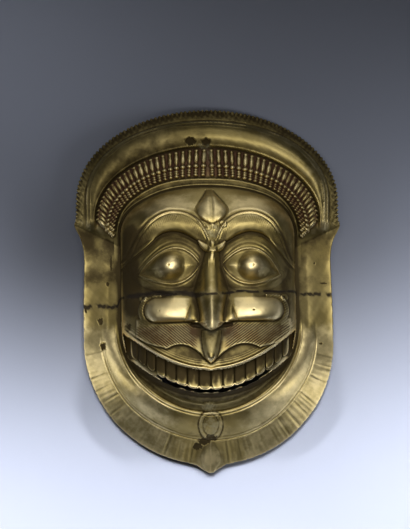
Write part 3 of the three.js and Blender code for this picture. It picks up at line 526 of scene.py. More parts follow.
def chin_ornament(x, y):
    """The oval ring on the jaw, with a knob over it."""
    r = hypot(x / 12.5, (y + 158) / 15.5)
    rim, boss = 1.7 * cap(((r - 0.9) / 0.16) ** 2), 1.5 * cap((r / 0.72) ** 2)
    knob = 3.2 * cap((hypot(x, y + 140.5) / 4.6) ** 2)
    return maximum(maximum(rim, boss), knob) - 0.9 * bell(r - 1.14, 0.07) * (y < -142)


def tip_leaf(x, y):
    """The low leaf on the point of the chin."""
    half = along(TIP_LEAF, y)
    u = abs(x) / half
    rise = 0.9 * cap(u ** 2.4) * (y < -175) * (y > -211)
    return rise + 0.5 * bell(x, 1.1) * smooth(-174, -180, y) * smooth(-211, -206, y)


def face_shift(x, y):
    """How far the middle of the face stands right of the middle of the rim."""
    return along(FACE_SHIFT, y) * smooth(99, 62, abs(x))


def mouth_drop(x, y):
    """How far the right side of the mouth stands higher than the left."""
    return MOUTH_TILT * x * (smooth(40, -60, y) * smooth(125, 95, abs(x)) * smooth(-170, -130, y))


def upright(px, py):
    """The upright, even place that a place on the casting comes from."""
    x = px - TIP_LEAN * maximum(60 - py, 0) - face_shift(px, py)
    return x, py - mouth_drop(x, py)


def leaning(x, y):
    """Where an upright place lies on the casting, which leans a little and is not quite even."""
    return x + TIP_LEAN * maximum(60 - y, 0) + face_shift(x, y), y + mouth_drop(x, y)


def seam_y(x):
    """Middle of the repair line that crosses the mask."""
    flap = smooth(-100, -104, x)
    waves = 0.7 * sin(x / 13) + 0.5 * sin(x / 5.1 + 1)
    return -8.6 + 0.03 * x - 4.5 * bell(x - 3, 22) - 7.5 * flap + waves


# Worn places: middle x, y, half width, half height, depth or rise
PITS = (
    (-20, 170, 6.5, 4.6, 1.5), (-1.7, 168.8, 5.5, 4.4, 1.3), (-1, 206.5, 5, 1.6, 0.8),
    (4, -171.5, 7, 3.4, 1.2), (-4, -176, 7, 4, 1), (-11, -181, 5.5, 4, 0.8),
    (51, -29.5, 1.3, 1.2, 0.8), (-57, -31, 0.8, 0.8, 0.5), (-144, -8, 1.4, 3.5, 0.9),
    (-140, -24, 1.2, 3, 0.8),
    (124, 31, 1.2, 1.2, 0.7), (-68, -12, 5, 2, 0.7), (-45, -11.5, 9, 1.7, 0.7), (-92, -48, 4, 6, 0.4),
    (-115, 6, 1.8, 2.4, 0.8), (-123, -37, 3, 4, 1), (-120, -66, 3.4, 5, 1.2), (-111, 30, 1.2, 9, 0.3),
    (131, -62, 2.4, 1.2, 0.4), (134, 8, 5, 0.7, 0.4),
)
CRUSTS = (
    (-4, 165, 6.5, 3.6, 0.9), (0, 150, 5, 12, 0.5), (1.2, -138.5, 8, 5.5, 1.8), (3, -156, 13, 15, 0.9),
    (4.5, 62.5, 9, 8, 0), (-70, -16, 3, 2.4, 0.5),
)


def patches(px, py, spots):
    """Ragged round patches: how far a point is in one, and how deep that one goes there."""
    ragged = 0.22 * wander(px, py, 2.4, 9) + 0.12 * wander(px, py, 1.1, 4)
    cover, depth = np.zeros_like(px), np.zeros_like(px)
    for cx, cy, rx, ry, amount in spots:
        one = smooth(1.25, 0.55, hypot((px - cx) / rx, (py - cy) / ry) + ragged)
        cover, depth = maximum(cover, one), maximum(depth, one * amount)
    return cover, depth


def front_height(px, py, fine=True):
    """Height of the front over the rim's plane; without fine, the plain form that the hollow follows."""
    x, y = upright(px, py)
    z = ring_height(x, y, fine)
    inside = face_reach(x, y) < 1
    dome = brow_and_eye(x, y, dome_height(x, y, z), fine)
    dome = cheek_and_moustache(x, y, dome, fine)
    face = philtrum(x, y, nose(x, y, dome), dome)
    face = mouth(x, y, face, fine) + bud(x, y, fine)
    if fine:
        laid, ground = root_leaves(x, y)
        face = where(laid > 0.02, maximum(face, ground) + laid, face) + minimum(laid, 0)
    z = where(inside, face, z)
    if fine:
        z = z + where(inside, 0, chin_ornament(x, y) + tip_leaf(x, y))
        open_seam = smooth(0.1, 0.6, 0.5 + 0.5 * wander(px, py, 7, 5))
        z = z - 0.8 * bell(py - seam_y(px), 1.1) * open_seam * (abs(px) < 144)
        z = z + 0.25 * wander(px, py, 16, 6) + 0.07 * wander(px, py, 4.2, 3)
        rough = 0.6 + 0.4 * wander(px, py, 1.6, 2)
        z = z - patches(px, py, PITS)[1] + patches(px, py, CRUSTS)[1] * rough
    return maximum(z, RIM_THICKNESS - 0.4)


# Plan of the casting: rays from a point near the middle meet the outline and the edge of the face
RAY_CENTRE_Y = -2
SHORTEST_RAY, LONGEST_RAY, HALVINGS = 40, 240, 34
OUTLINE_POINTS, SLOT_POINTS, SLOT_WALL_POINTS = 7201, 400, 300
RIM_RAYS, RIM_ROWS, CROWN_FOOT_Y = 1500, 98, 74
FACE_STEP, BACK_STEP, MAP_STEP = 0.68, 2.2, 0.8
FACE_GRID = ((-102, -146), (102, 118))
BACK_GRID = ((-160, -214), (160, 214))
MAP_HALF_WIDTH, MAP_HALF_HEIGHT = 166, 222


def ray_length(angle, level):
    """Distance along each ray to where level() falls to zero."""
    near, far = np.full_like(angle, SHORTEST_RAY), np.full_like(angle, LONGEST_RAY)
    for _ in range(HALVINGS):
        r = (near + far) / 2
        inside = level(r * cos(angle), RAY_CENTRE_Y + r * sin(angle)) > 0
        near, far = where(inside, r, near), where(inside, far, r)
    return near


def outline_rays(count):
    """Angles spread evenly along the outline, and their distance run from the first."""
    dense = linspace(0, 2 * pi, OUTLINE_POINTS)
    r = ray_length(dense, outline_inset)
    x, y = r * cos(dense), r * sin(dense)
    run = concatenate([[0], cumsum(hypot(np.diff(x), np.diff(y)))])
    even = arange(count) / count * run[-1]
    return interp(even, run, dense), even


def slot_lines(count):
    """Upper and lower edge of the open slot below the teeth; it runs up a little between them."""
    x = linspace(SLOT_FROM, SLOT_TO, count)
    close = sqrt(clip(minimum(x - SLOT_FROM, SLOT_TO - x) / 5, 0, 1))
    tooth_ends = cumsum((0,) + TOOTH_WIDTHS)
    in_tooth = interp(abs(x), tooth_ends, 2 * arange(len(tooth_ends))) % 2 - 1
    upper = teeth_y(x) + 0.4 + 2.8 * abs(in_tooth) ** 5
    lower = low_lip_y(x) - 0.1 + 0.5 * sin(x / 2.9) * sin(x / 7.7)
    middle = (upper + lower) / 2
    return x, middle + (upper - middle) * close, middle + (lower - middle) * close


def slot_level(x, y):
    """Negative inside the slot, in millimetres."""
    sx, upper, lower = slot_lines(SLOT_POINTS)
    above = y - interp(x, sx, upper)
    below = interp(x, sx, lower) - y
    beside = maximum(SLOT_FROM - x, x - SLOT_TO)
    return maximum(maximum(above, below), beside)


def blurred(height, radius):
    """A height map smoothed with a bell of this radius in millimetres."""
    reach = int(np.ceil(2.6 * radius / MAP_STEP))
    weights = np.exp(-0.5 * (arange(-reach, reach + 1) * MAP_STEP / radius) ** 2)
    weights /= weights.sum()
    out = height
    for axis in (0, 1):
        pad = [(reach, reach) if a == axis else (0, 0) for a in (0, 1)]
        wide = np.pad(out, pad, mode="edge")
        n = out.shape[axis]
        out = sum(w * np.take(wide, arange(k, k + n), axis) for k, w in enumerate(weights))
    return out


map_x, map_y = (arange(-half, half + 0.1, MAP_STEP) for half in (MAP_HALF_WIDTH, MAP_HALF_HEIGHT))


def read_map(height, x, y):
    fi = clip((x - map_x[0]) / MAP_STEP, 0, len(map_x) - 1.001)
    fj = clip((y - map_y[0]) / MAP_STEP, 0, len(map_y) - 1.001)
    i, j = fi.astype(int), fj.astype(int)
    u, v = fi - i, fj - j
    low = height[j, i] * (1 - u) + height[j, i + 1] * u
    high = height[j + 1, i] * (1 - u) + height[j + 1, i + 1] * u
    return low * (1 - v) + high * v


grid_x, grid_y = np.meshgrid(map_x, map_y)
plain_front = front_height(grid_x, grid_y, fine=False)


def hollowed(height):
    """The front moved back by one wall, as the core of the casting had it."""
    cells = int(np.ceil(WALL / MAP_STEP))
    out = np.full_like(height, 1e9)
    for dj in range(-cells, cells + 1):
        for di in range(-cells, cells + 1):
            r = hypot(di, dj) * MAP_STEP
            if r <= WALL:
                moved = np.roll(np.roll(height, dj, 0), di, 1)
                out = minimum(out, moved - sqrt(WALL * WALL - r * r))
    return maximum(blurred(out, 1.6), 0.7)


inner_map = hollowed(plain_front)


def inner_height(x, y):
    return read_map(inner_map, x, y)


class Shape:
    """Points and faces of one piece, gathered as arrays in the casting's own millimetres."""

    def __init__(self):
        self.points, self.quads, self.triangles, self.count = [], [], [], 0

    def add(self, points, quads=(), triangles=()):
        points = np.asarray(points, float).reshape(-1, 3)
        if len(quads):
            self.quads.append(np.asarray(quads, int).reshape(-1, 4) + self.count)
        if len(triangles):
            self.triangles.append(np.asarray(triangles, int).reshape(-1, 3) + self.count)
        self.points.append(points)
        self.count += len(points)

    def all_points(self):
        return concatenate(self.points)


def standing(plan, height):
    """Points from a plan, a pair of x and y, and their heights."""
    return stack([plan[0], plan[1], height], -1)


def plan_of(radius, c, s):
    """Leaning plan of points at this distance along the rays."""
    return leaning(radius * c, RAY_CENTRE_Y + radius * s)


def end_fans(count, columns, turned):
    """Triangles that close both ends of a bar whose points lie in rings of so many columns."""
    last, fans = (count - 1) * columns, []
    for start, over in ((0, turned), (last, 1 - turned)):
        fans += [(start, start + k + over, start + k + 1 - over) for k in range(1, columns - 1)]
    return fans


def sheet_quads(rows, columns, closed=False):
    """Quads of a grid of points laid out row by row."""
    across = columns if closed else columns - 1
    j, i = np.meshgrid(arange(rows - 1), arange(across), indexing="ij")
    k = (i + 1) % columns
    corners = (j * columns + i, j * columns + k, (j + 1) * columns + k, (j + 1) * columns + i)
    return stack(corners, -1).reshape(-1, 4)


def rim_shapes():
    """Crown, and jaw with flaps, outside the face, with the toothed edge and the flat rim they lie on."""
    angle, run = outline_rays(RIM_RAYS)
    outer = ray_length(angle, outline_inset)
    inner = ray_length(angle, lambda x, y: 1 - face_reach(x, y))
    c, s = cos(angle), sin(angle)
    edge_y = RAY_CENTRE_Y + outer * s
    scallop = abs(sin(pi * run / EDGE_TOOTH_PITCH + 0.5 * wander(run, run, 90, 1)))
    crown = smooth(72, 86, edge_y)
    dip = EDGE_TOOTH_DEPTH * (1 - scallop) ** 1.1 * crown * (0.8 + 0.3 * wander(run, run * 0.2, 4.5, 6))
    nick = 0.5 * maximum(wander(run, run * 0.3, 5, 3), 0) * smooth(60, 20, edge_y)
    low_teeth = smooth(-70, -110, edge_y) * (0.7 + 0.4 * wander(run, run * 0.2, 4, 2))
    nick = nick + 0.8 * (1 - scallop) * low_teeth
    outer = outer - dip - nick
    rows = []
    for t in linspace(0, 1, RIM_ROWS) ** 0.97:
        r = inner + (outer - 0.7 - inner) * t
        plan = plan_of(r, c, s)
        back = outer - r
        tooth = (2.3 * scallop ** 0.7 - 1.6) * crown * smooth(5.2, 1.2, back) * smooth(-0.5, 1, back)
        tooth = tooth + 0.45 * wander(*plan, 2.6, 2) * crown * smooth(11, 8, back)
        rows.append(standing(plan, front_height(*plan) + tooth))
    top = rows[-1][:, 2]
    for back, height in ((0.25, top - 0.25), (0, top - 0.9), (0, 0.7 + 0 * top), (0.5, 0 * top)):
        rows.append(standing(plan_of(outer - back, c, s), height))
    plan = plan_of(ray_length(angle, lambda x, y: outline_inset(x, y) - RIM_FLAT_WIDTH), c, s)
    for level in (0, 1):
        rows.append(standing(plan, inner_height(*plan) * level))
    sheet = stack(rows)
    upper = np.flatnonzero(edge_y > CROWN_FOOT_Y)
    lower = np.roll(arange(RIM_RAYS), -upper[-1])[: RIM_RAYS - len(upper) + 2]
    crown_piece, jaw_piece = Shape(), Shape()
    for piece, columns in ((crown_piece, upper), (jaw_piece, lower)):
        piece.add(sheet[:, columns], sheet_quads(len(rows), len(columns))[:, ::-1])
    return crown_piece, jaw_piece


def snapped_grid(low, high, step, level):
    """A square grid cut to where level(x, y) is positive, its border points moved onto the border."""
    x, y = np.meshgrid(arange(low[0], high[0] + step, step), arange(low[1], high[1] + step, step))
    value = level(x, y)
    best = np.full(x.shape, 2)
    to_x, to_y = x.copy(), y.copy()
    for axis, sign in ((0, 1), (0, -1), (1, 1), (1, -1)):
        other, ox, oy = (np.roll(a, -sign, axis) for a in (value, x, y))
        crossing = ((value > 0) != (other > 0)) & (hypot(ox - x, oy - y) < 1.5 * step)
        t = where(crossing, value / where(crossing, value - other, 1), 2)
        near = crossing & (t <= 0.5) & (t < best)
        best = where(near, t, best)
        to_x = where(near, x + (ox - x) * t, to_x)
        to_y = where(near, y + (oy - y) * t, to_y)
    on = best < 2
    h = 0.02
    for _ in range(3):
        x_on, y_on = to_x[on], to_y[on]
        v = level(x_on, y_on)
        gx = (level(x_on + h, y_on) - level(x_on - h, y_on)) / (2 * h)
        gy = (level(x_on, y_on + h) - level(x_on, y_on - h)) / (2 * h)
        g2 = maximum(gx * gx + gy * gy, 0.02)
        to_x[on] -= clip(v * gx / g2, -step / 2, step / 2)
        to_y[on] -= clip(v * gy / g2, -step / 2, step / 2)
    kept = (value > 0) | on
    rows, columns = x.shape
    index = arange(rows * columns).reshape(rows, columns)
    corners = stack([index[:-1, :-1], index[:-1, 1:], index[1:, 1:], index[1:, :-1]], -1).reshape(-1, 4)
    good, edge = kept.ravel()[corners], on.ravel()
    quads = corners[good.all(1) & ~edge[corners].all(1)]
    three = corners[good.sum(1) == 3]
    missing = np.argmin(kept.ravel()[three], 1)
    triangles = np.take_along_axis(three, (missing[:, None] + array([1, 2, 3])) % 4, 1)
    triangles = triangles[~edge[triangles].all(1)]
    used = np.zeros(rows * columns, bool)
    used[quads.ravel()] = True
    used[triangles.ravel()] = True
    number = cumsum(used) - 1
    return to_x.ravel()[used], to_y.ravel()[used], number[quads], number[triangles]


def face_level(x, y):
    return minimum(100 * (1 - face_reach(x, y)), slot_level(x, y))


def back_level(x, y):
    return minimum(outline_inset(x, y) - RIM_FLAT_WIDTH, slot_level(x, y))


def face_shape():
    """The front of the face inside the brow arch and the jaw."""
    x, y, quads, triangles = snapped_grid(*FACE_GRID, FACE_STEP, face_level)
    plan, shape = leaning(x, y), Shape()
    shape.add(standing(plan, front_height(*plan)), quads, triangles)
    return shape


def back_shape():
    """The hollow behind, one wall inside the front."""
    x, y, quads, triangles = snapped_grid(*BACK_GRID, BACK_STEP, back_level)
    plan, shape = leaning(x, y), Shape()
    shape.add(standing(plan, inner_height(*plan)), quads[:, ::-1], triangles[:, ::-1])
    return shape


def slot_shape():
    """The cut walls of the open slot."""
    x, upper, lower = slot_lines(SLOT_WALL_POINTS)
    loop_x = concatenate([x, x[-2:0:-1]])
    loop_y = concatenate([upper, lower[-2:0:-1]])
    out = sign(loop_y - interp(loop_x, x, (upper + lower) / 2)) * 0.12
    top = front_height(*leaning(loop_x, loop_y + out))
    plan, shape = leaning(loop_x, loop_y), Shape()
    foot = inner_height(*plan)
    levels = [standing(plan, top + (foot - top) * t) for t in (0, 0.35, 0.7, 1)]
    shape.add(concatenate(levels), sheet_quads(len(levels), len(loop_x), closed=True))
    return shape


def follow(line, step):
    """A plan line cut into even steps, with the direction across it."""
    line = np.asarray(line, float)
    run = concatenate([[0], cumsum(hypot(*np.diff(line, axis=0).T))])
    even = linspace(0, run[-1], max(int(run[-1] / step), 4) + 1)
    x, y = interp(even, run, line[:, 0]), interp(even, run, line[:, 1])
    dx, dy = np.gradient(x), np.gradient(y)
    length = hypot(dx, dy)
    return x, y, -dy / length, dx / length, even / run[-1]


THREAD_STEP, THREAD_SIDES, THREAD_SUNK = 0.8, 7, 1.2


def bead_line(shape, line, width, lift):
    """A half round thread laid along a plan line, sunk a little in the casting, thinning at its ends."""
    x, y, nx, ny, t = follow(line, THREAD_STEP)
    thin = clip(minimum(t, 1 - t) / 0.08, 0.12, 1) ** 0.6
    across = linspace(-1, 1, THREAD_SIDES)
    plans = [leaning(x + nx * o * width / 2 * thin, y + ny * o * width / 2 * thin) for o in across]
    heights = array([front_height(*plan) for plan in plans])
    heights = minimum(heights, heights[THREAD_SIDES // 2][None] + THREAD_SUNK)
    even = np.pad(heights, ((0, 0), (4, 4)), mode="edge")
    heights = sum(even[:, k:k + heights.shape[1]] for k in range(9)) / 9
    rises = [lift * thin * sqrt(max(1 - o * o, 0)) - 0.25 * (abs(o) > 0.99) for o in across]
    rows = [standing(plans[k], heights[k] + rises[k]) for k in range(THREAD_SIDES)]
    rows += [standing(plans[k], heights[k] - THREAD_SUNK) for k in (THREAD_SIDES - 1, 0)]
    count, columns = len(x), len(rows)
    shape.add(stack(rows, 1), sheet_quads(count, columns, closed=True), end_fans(count, columns, 1))


BALUSTER_PROFILE = (
    (0, 2), (0.025, 3.2), (0.06, 3.3), (0.09, 2.6), (0.13, 2.9), (0.25, 3.4), (0.38, 3.2), (0.47, 2.6),
    (0.51, 2.2), (0.545, 3), (0.6, 3.9), (0.645, 3.6), (0.685, 2.5), (0.71, 2.1), (0.74, 3.2), (0.765, 3.2),
    (0.79, 2.2), (0.82, 3.1), (0.85, 3.1), (0.875, 2.2), (0.92, 3.2), (0.965, 3), (1, 1.4),
)
BAND_HEAD = (127, 82, 79.5)
POST_RINGS, POST_SIDES, POST_HALF_TURN = 40, 11, pi * 0.62


def baluster_line(share):
    """Head and foot of the baluster that stands at this share of the way round the brow."""
    angle = pi * (0.5 - (share - 0.5) * 1.02)
    c, s = cos(angle), sin(angle)
    p = 2 / RING_D[3]
    head = array([BAND_HEAD[0] * c, BAND_HEAD[1] + BAND_HEAD[2] * s])
    foot_x = (RING_D[0] - 0.6) * sign(c) * abs(c) ** p
    foot_y = RING_D[1] + 1.2 + (RING_D[2] - 1.2) * abs(s) ** p * sign(s)
    return head, array([foot_x, foot_y])


def balusters_shape():
    """Small turned posts side by side round the brow, half sunk in the casting."""
    shape = Shape()
    t = linspace(0, 1, POST_RINGS)
    radius = interp(t, *array(BALUSTER_PROFILE).T)
    turn = linspace(-POST_HALF_TURN, POST_HALF_TURN, POST_SIDES)
    for k in range(BALUSTERS):
        head, foot = baluster_line((k + 0.5) / BALUSTERS)
        length = hypot(*(foot - head))
        u = (foot - head) / length
        side = array([-u[1], u[0]])
        size = 1.02 + 0.05 * sin(k * 1.9 + 1)
        lean = 0.35 * sin(k * 2.4) + 0.25 * sin(k * 5.1)
        middle = head[None] + u[None] * (t * length)[:, None] + side[None] * (lean * (1 - t))[:, None]
        ground = front_height(*leaning(middle[:, 0], middle[:, 1]))
        r = (radius * size)[:, None]
        x = middle[:, :1] + side[0] * r * sin(turn)[None]
        y = middle[:, 1:] + side[1] * r * sin(turn)[None]
        z = ground[:, None] - 0.6 + 1.35 * r * cos(turn)[None]
        quads = sheet_quads(len(t), len(turn), closed=True)[:, ::-1]
        shape.add(standing(leaning(x, y), z), quads, end_fans(len(t), len(turn), 0))
    return shape


TOOTH_COLUMNS, TOOTH_ROWS = 15, 19


def teeth_shape():
    """A bow of teeth under the upper lip, each a cushion with a rounded foot and a thin rim."""
    shape = Shape()
    start = 0
    across, down = linspace(-1, 1, TOOTH_COLUMNS), linspace(0, 1, TOOTH_ROWS)
    v, u = np.meshgrid(down, across, indexing="ij")
    rows, columns = v.shape
    n = rows * columns
    border = list(range(columns)) + [(r + 1) * columns - 1 for r in range(1, rows)]
    border += [n - 1 - k for k in range(1, columns)] + [r * columns for r in range(rows - 2, 0, -1)]
    b = array(border)
    walls = stack([b, np.roll(b, -1), np.roll(b, -1) + n, b + n], -1)
    for number, width in enumerate(TOOTH_WIDTHS):
        half, middle = width / 2 - 0.25, start + width / 2
        start += width
        for side in (1, -1):
            foot = sqrt(clip(1 - clip((v - 0.66) / 0.34, 0, 1) ** 2.2, 0, 1))
            x = middle + u * half * (0.3 + 0.7 * foot) * (1 - 0.05 * v)
            top, bottom = lip_y(x) - 0.4, teeth_y(x) + 0.2
            y = top + (bottom - top) * v * (1 + 0.03 * sin(number * 2.1 + side))
            base = dome_height(x, lip_y(x) + 2, jaw_base(lip_y(x))) - TEETH_DEPTH
            away = maximum(abs(u), clip((v - 0.55) / 0.45, 0, 1))
            z = base + 3.8 - 1.3 * away ** 4 + 0.5 * bell(away - 0.88, 0.06) * (v > 0.35) - 0.8 * (1 - v)
            z = z + 0.6 * sin(number * 1.7 + side * 0.8)
            plan = leaning(x * side, y)
            quads = sheet_quads(rows, columns)
            faces = concatenate([quads[:, ::-1], quads + n, walls])
            points = concatenate([standing(plan, z), standing(plan, base - 2.5)])
            shape.add(points, faces if side > 0 else faces[:, ::-1])
    return shape


def threads_shape():
    """Threads laid on the face: lids and brows."""
    shape = Shape()
    x = linspace(13.3, 80.9, 90)
    up, low = lid_lines(x)
    brow_x = linspace(3.4, 100, 120)
    brow = stack([brow_x, along(BROW_UP, brow_x)], -1)
    lids = [stack([x, edge], -1) for edge in (up, low)]
    for line, width, lift in ((lids[0], 1.9, 0.8), (lids[1], 1.9, 0.8), (brow, 1.8, 0.7)):
        for side in (1, -1):
            bead_line(shape, line * array([side, 1]), width, lift)
    return shape


# Heights of everything on the front, to find what hands rub and where dirt lies
crown_piece, jaw_piece = rim_shapes()
shapes = {
    "crown": crown_piece,
    "jaw_and_flaps": jaw_piece,
    "face": face_shape(),
    "hollow_back": back_shape(),
    "slot_walls": slot_shape(),
    "teeth": teeth_shape(),
    "balusters": balusters_shape(),
    "threads": threads_shape(),
}
relief = front_height(grid_x, grid_y)
relief[outline_inset(*upright(grid_x, grid_y)) < 0] = 2
relief[slot_level(*upright(grid_x, grid_y)) < 0] -= 10
for laid_on in ("teeth", "balusters", "threads"):
    points = shapes[laid_on].all_points()
    column = clip(np.round((points[:, 0] - map_x[0]) / MAP_STEP).astype(int), 0, len(map_x) - 1)
    row = clip(np.round((points[:, 1] - map_y[0]) / MAP_STEP).astype(int), 0, len(map_y) - 1)
    maximum.at(relief, (row, column), points[:, 2])
RELIEF_BLUR = {"fine_relief": 1.3, "mid_relief": 4, "wide_relief": 13}
relief_maps = {label: blurred(relief, radius) for label, radius in RELIEF_BLUR.items()}


def seam_mask(px, py):
    """How dark the repair line is: most on the left of the face, worn on the flaps."""
    left = smooth(0, -14, px) * smooth(-96, -86, px)
    flap = smooth(-100, -106, px) * (0.55 + 0.45 * wander(px, py, 3.2, 8))
    broken = maximum(smooth(0.15, 0.5, 0.5 + 0.5 * wander(px, py, 7, 5)), left)
    spread = 1.2 + (1.3 * left + 0.9 * flap) * (1 + 0.4 * wander(px, py, 4, 3))
    worn = 1 - 0.72 * smooth(99, 105, abs(px)) * (0.75 + 0.5 * wander(px, py, 2.6, 1))
    spread = spread + smooth(99, 108, abs(px))
    off = py - seam_y(px)
    return 2 * bell(off, spread) * broken * worn + 0.3 * bell(off, 5)


def wear_and_painted_light_masks(px, py, name):
    """What the brass is coloured by, beyond its relief: wear and dirt, with some painted highlights and
    shade; each a value for every point of the named piece.
    """
    x, y = upright(px, py)
    side, ax = abs(x), cheek_side(x)
    cheek, edge = cheek_reach(ax, y), outline_inset(x, y)
    ring_b, ring_c, ring_d, ring_e = (top_inset(x, y, ring) for ring in (RING_B, RING_C, RING_D, RING_E))
    jaw_b, jaw_d = jaw_inset(x, y, JAW_B), jaw_inset(x, y, JAW_D)
    cover, _, over = moustache_mask(x, y)
    moustache = cover * smooth(0.2, 2.5, over)
    crown_foot = 0.51 * side
    below_lip = (low_lip_y(x) - y) * smooth(96, 88, side)
    earth = (
        smooth(-1, 3, ring_c) * smooth(1, -2, ring_d) * smooth(62, 72, y),  # among the balusters
        0.35 * moustache * smooth(10, 20, side) * smooth(-44, -50, y),
    )
    crust = (patches(px, py, CRUSTS)[0], 0.35 * moustache * smooth(-40, -50, y))
    # Rubbed brass where hands wore it, with painted highlights on the forehead and the fringe
    rubbing_and_painted_highlight = (
        smooth(1, 0.8, cheek) * window(ax, 22, 27, 68, 80),
        bell(hypot(side - EYE_X, y - EYE_Y), 8.5),
        1.2 * bell((y - 93) / 13, 1) * bell((side - 46) / 26, 1),  # painted highlight on the forehead
        0.8 * bell(hypot(x / 1.3, y + 54), 3.4),  # tip of the nose
        0.95 * bell(hypot(x, y + 196), 13),  # point of the chin
        0.25 * minimum(leaves(x, y, FORK), 2) * smooth(40, 46, y),
        0.9 * patch(x, y, -124, -84, 9, 7),  # painted glints on the fringe, left and right
        1.15 * patch(x, y, 122, -98, 15, 30),
        0.5 * smooth(2.6, 0.8, edge) * smooth(76, 90, y) * (0.5 + 0.5 * wander(x, y, 6, 5)),
        0.75 * smooth(0, 4, -jaw_d) * smooth(-30, -55, y) * smooth(15, 60, side),
        0.55 * bell(hypot(x / 1.2, y - 91), 15),  # bud
        0.45 * bell(x, 3) * window(y, -52, -40, 30, 44),  # ridge of the nose
        0.75 * smooth(104, 112, side) * window(y, 48, 56, 66, 86) * smooth(-4, 2, y - crown_foot),
    )
    if name == "teeth":
        # teeth: dirt, and painted shade from the lip above them
        grime_and_painted_shade = (2.9 + 0.2 * smooth(-55, -85, px) - 0.8 * smooth(30, 75, px),)
    elif name == "balusters":
        grime_and_painted_shade = (0.3 + 0.25 * smooth(-2, 4, ring_c + 8.5) + 0.15 * smooth(50, 100, side),)
    else:
        brow = 0.5 - 0.12 * tanh(x / 20)
        temples = smooth(70, 90, side) * window(y, -50, -20, 60, 88)
        flap_tops = smooth(10, 62, y) * smooth(98, 102, side) * (ring_d < 0) * smooth(8, -4, y - crown_foot)
        # Dirt, with painted shade on the temples, under the moustache and the nose, on the lower lip and on
        # the left of the jaw
        grime_and_painted_shade = (
            moustache * smooth(12, 24, ax) * smooth(-44, -50, y) * (0.15 + 1.7 * hatching(x, y)),
            0.6 * smooth(1, -1, over) * window(ax, 8, 12, 80, 90) * smooth(-36, -40, y)
            * smooth(0, 2, y - lip_y(x)),  # upper lip
            brow * bell((y - along(BROW_UP, side)) / 14 + 0.9, 1) * smooth(8, 14, side),
            0.95 * bell(hypot(ax - 17, (y + 53) * 1.1), 12),  # painted shadow beside the tip of the nose
            0.5 * window(cheek, 0.6, 0.95, 1, 1.1) * smooth(62, 72, ax),
            # wings of the nose
            (0.45 - 0.2 * tanh(x / 10)) * window(ax, 12, 17, 27, 33) * window(y, -46, -42, -20, -12),
            0.3 * bell(x, 16) * window(y, -52, -44, -16, -4),
            bell(over + 1, 1.3) * (ax < 88) * (ax > 8) * smooth(-40, -60, y),  # painted shadow under the moustache's edge
            0.25 * bell(x, 22) * smooth(150, 170, y),
            # painted shade on the temples, the steep sides of the face
            (1.45 - 0.45 * tanh(x / 20)) * temples * smooth(1, 0.97, face_reach(x, y)),
            0.8 * bell(ax - 12, 6) * window(y, -12, -2, 34, 44),  # sides of the bridge
            (0.5 - 0.12 * tanh(x / 10)) * bell(eye_hollow_reach(side, y) - 0.85, 0.32) * smooth(-14, -6, y),
            smooth(-0.5, 1.5, below_lip) * smooth(1, 4, jaw_d) * (0.25 + 0.5 * smooth(11, 4, below_lip))
            + 1.6 * bell(below_lip - 0.5, 2.4) * smooth(95, 88, side),  # painted shade on the lower lip and below the slot
            (0.3 + 0.6 * smooth(110, 180, y)) * bell(edge - 4, 7) * smooth(75, 95, y),
            (0.45 - 0.35 * tanh(x / 60)) * smooth(60, 85, y) * smooth(0, 4, ring_b) * smooth(2, -2, ring_c),
            0.5 * smooth(70, 90, y) * bell(ring_e + 4, 7),
            1.6 * patches(px, py, PITS)[0],
            0.25 * smooth(0, 4, -jaw_b) * smooth(-84, -104, y) * smooth(25, 60, side),
            # painted shade dimming the sheen on the left of the jaw
            0.6 * smooth(0, 8, -jaw_d) * patch(x, y, -96, -112, 24, 24),
            0.28 * smooth(0, 6, -jaw_d) * smooth(0, 4, jaw_b) * smooth(-85, -120, y),
            0.75 * bell(x / maximum(along(PHILTRUM, y), 2), 1.1) * window(y, -94, -90, -58, -52),
            (0.85 - 0.2 * tanh(x / 20)) * flap_tops * (0.85 + 0.4 * wander(x, y, 15, 4)),
        )
    masks = {"band": earth, "crust": crust, "rubbing_and_painted_highlight": rubbing_and_painted_highlight, "grime_and_painted_shade": grime_and_painted_shade}
    masks = {label: maximum.reduce(spots) for label, spots in masks.items()}
    return {**masks, "seam": seam_mask(px, py)}


def new_object(name, data):
    made = bpy.data.objects.new(name, data)
    bpy.context.scene.collection.objects.link(made)
    return made


HIDDEN_RELIEF = -0.8


def make_piece(name, shape):
    points = shape.all_points()
    quads = concatenate(shape.quads)
    triangles = concatenate(shape.triangles) if shape.triangles else np.zeros((0, 3), int)
    mesh = bpy.data.meshes.new(name)
    placed = (points + array([SHIFT_X, SHIFT_Y, 0])) * MM
    placed = clip(placed, array(solid_box[0]), array(solid_box[1]))
    mesh.vertices.add(len(placed))
    mesh.vertices.foreach_set("co", placed.ravel())
    loops = concatenate([quads.ravel(), triangles.ravel()])
    mesh.loops.add(len(loops))
    mesh.loops.foreach_set("vertex_index", loops)
    starts = concatenate([arange(len(quads)) * 4, len(quads) * 4 + arange(len(triangles)) * 3])
    mesh.polygons.add(len(starts))
    mesh.polygons.foreach_set("loop_start", starts)
    mesh.update(calc_edges=True)
    mesh.validate()
    mesh.shade_smooth()
    px, py, height = (np.ascontiguousarray(part) for part in points.T)
    fields = {label: height - read_map(smoothed, px, py) for label, smoothed in relief_maps.items()}
    if name in ("hollow_back", "slot_walls"):
        fields = {label: np.full(len(points), HIDDEN_RELIEF) for label in fields}
    fields.update(wear_and_painted_light_masks(px, py, name))
    for label, values in fields.items():
        mesh.attributes.new(label, "FLOAT", "POINT").data.foreach_set("value", values)
    mesh.materials.append(casting_brass)
    piece = new_object(name, mesh)
    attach(piece, "root")
    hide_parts("mask")
    return piece


# Finishes
FLOAT, COLOUR, VECTOR = "NodeSocketFloat", "NodeSocketColor", "NodeSocketVector"


def link_value(tree, socket, value):
    if isinstance(value, bpy.types.NodeSocket):
        tree.links.new(value, socket)
    else:
        socket.default_value = value


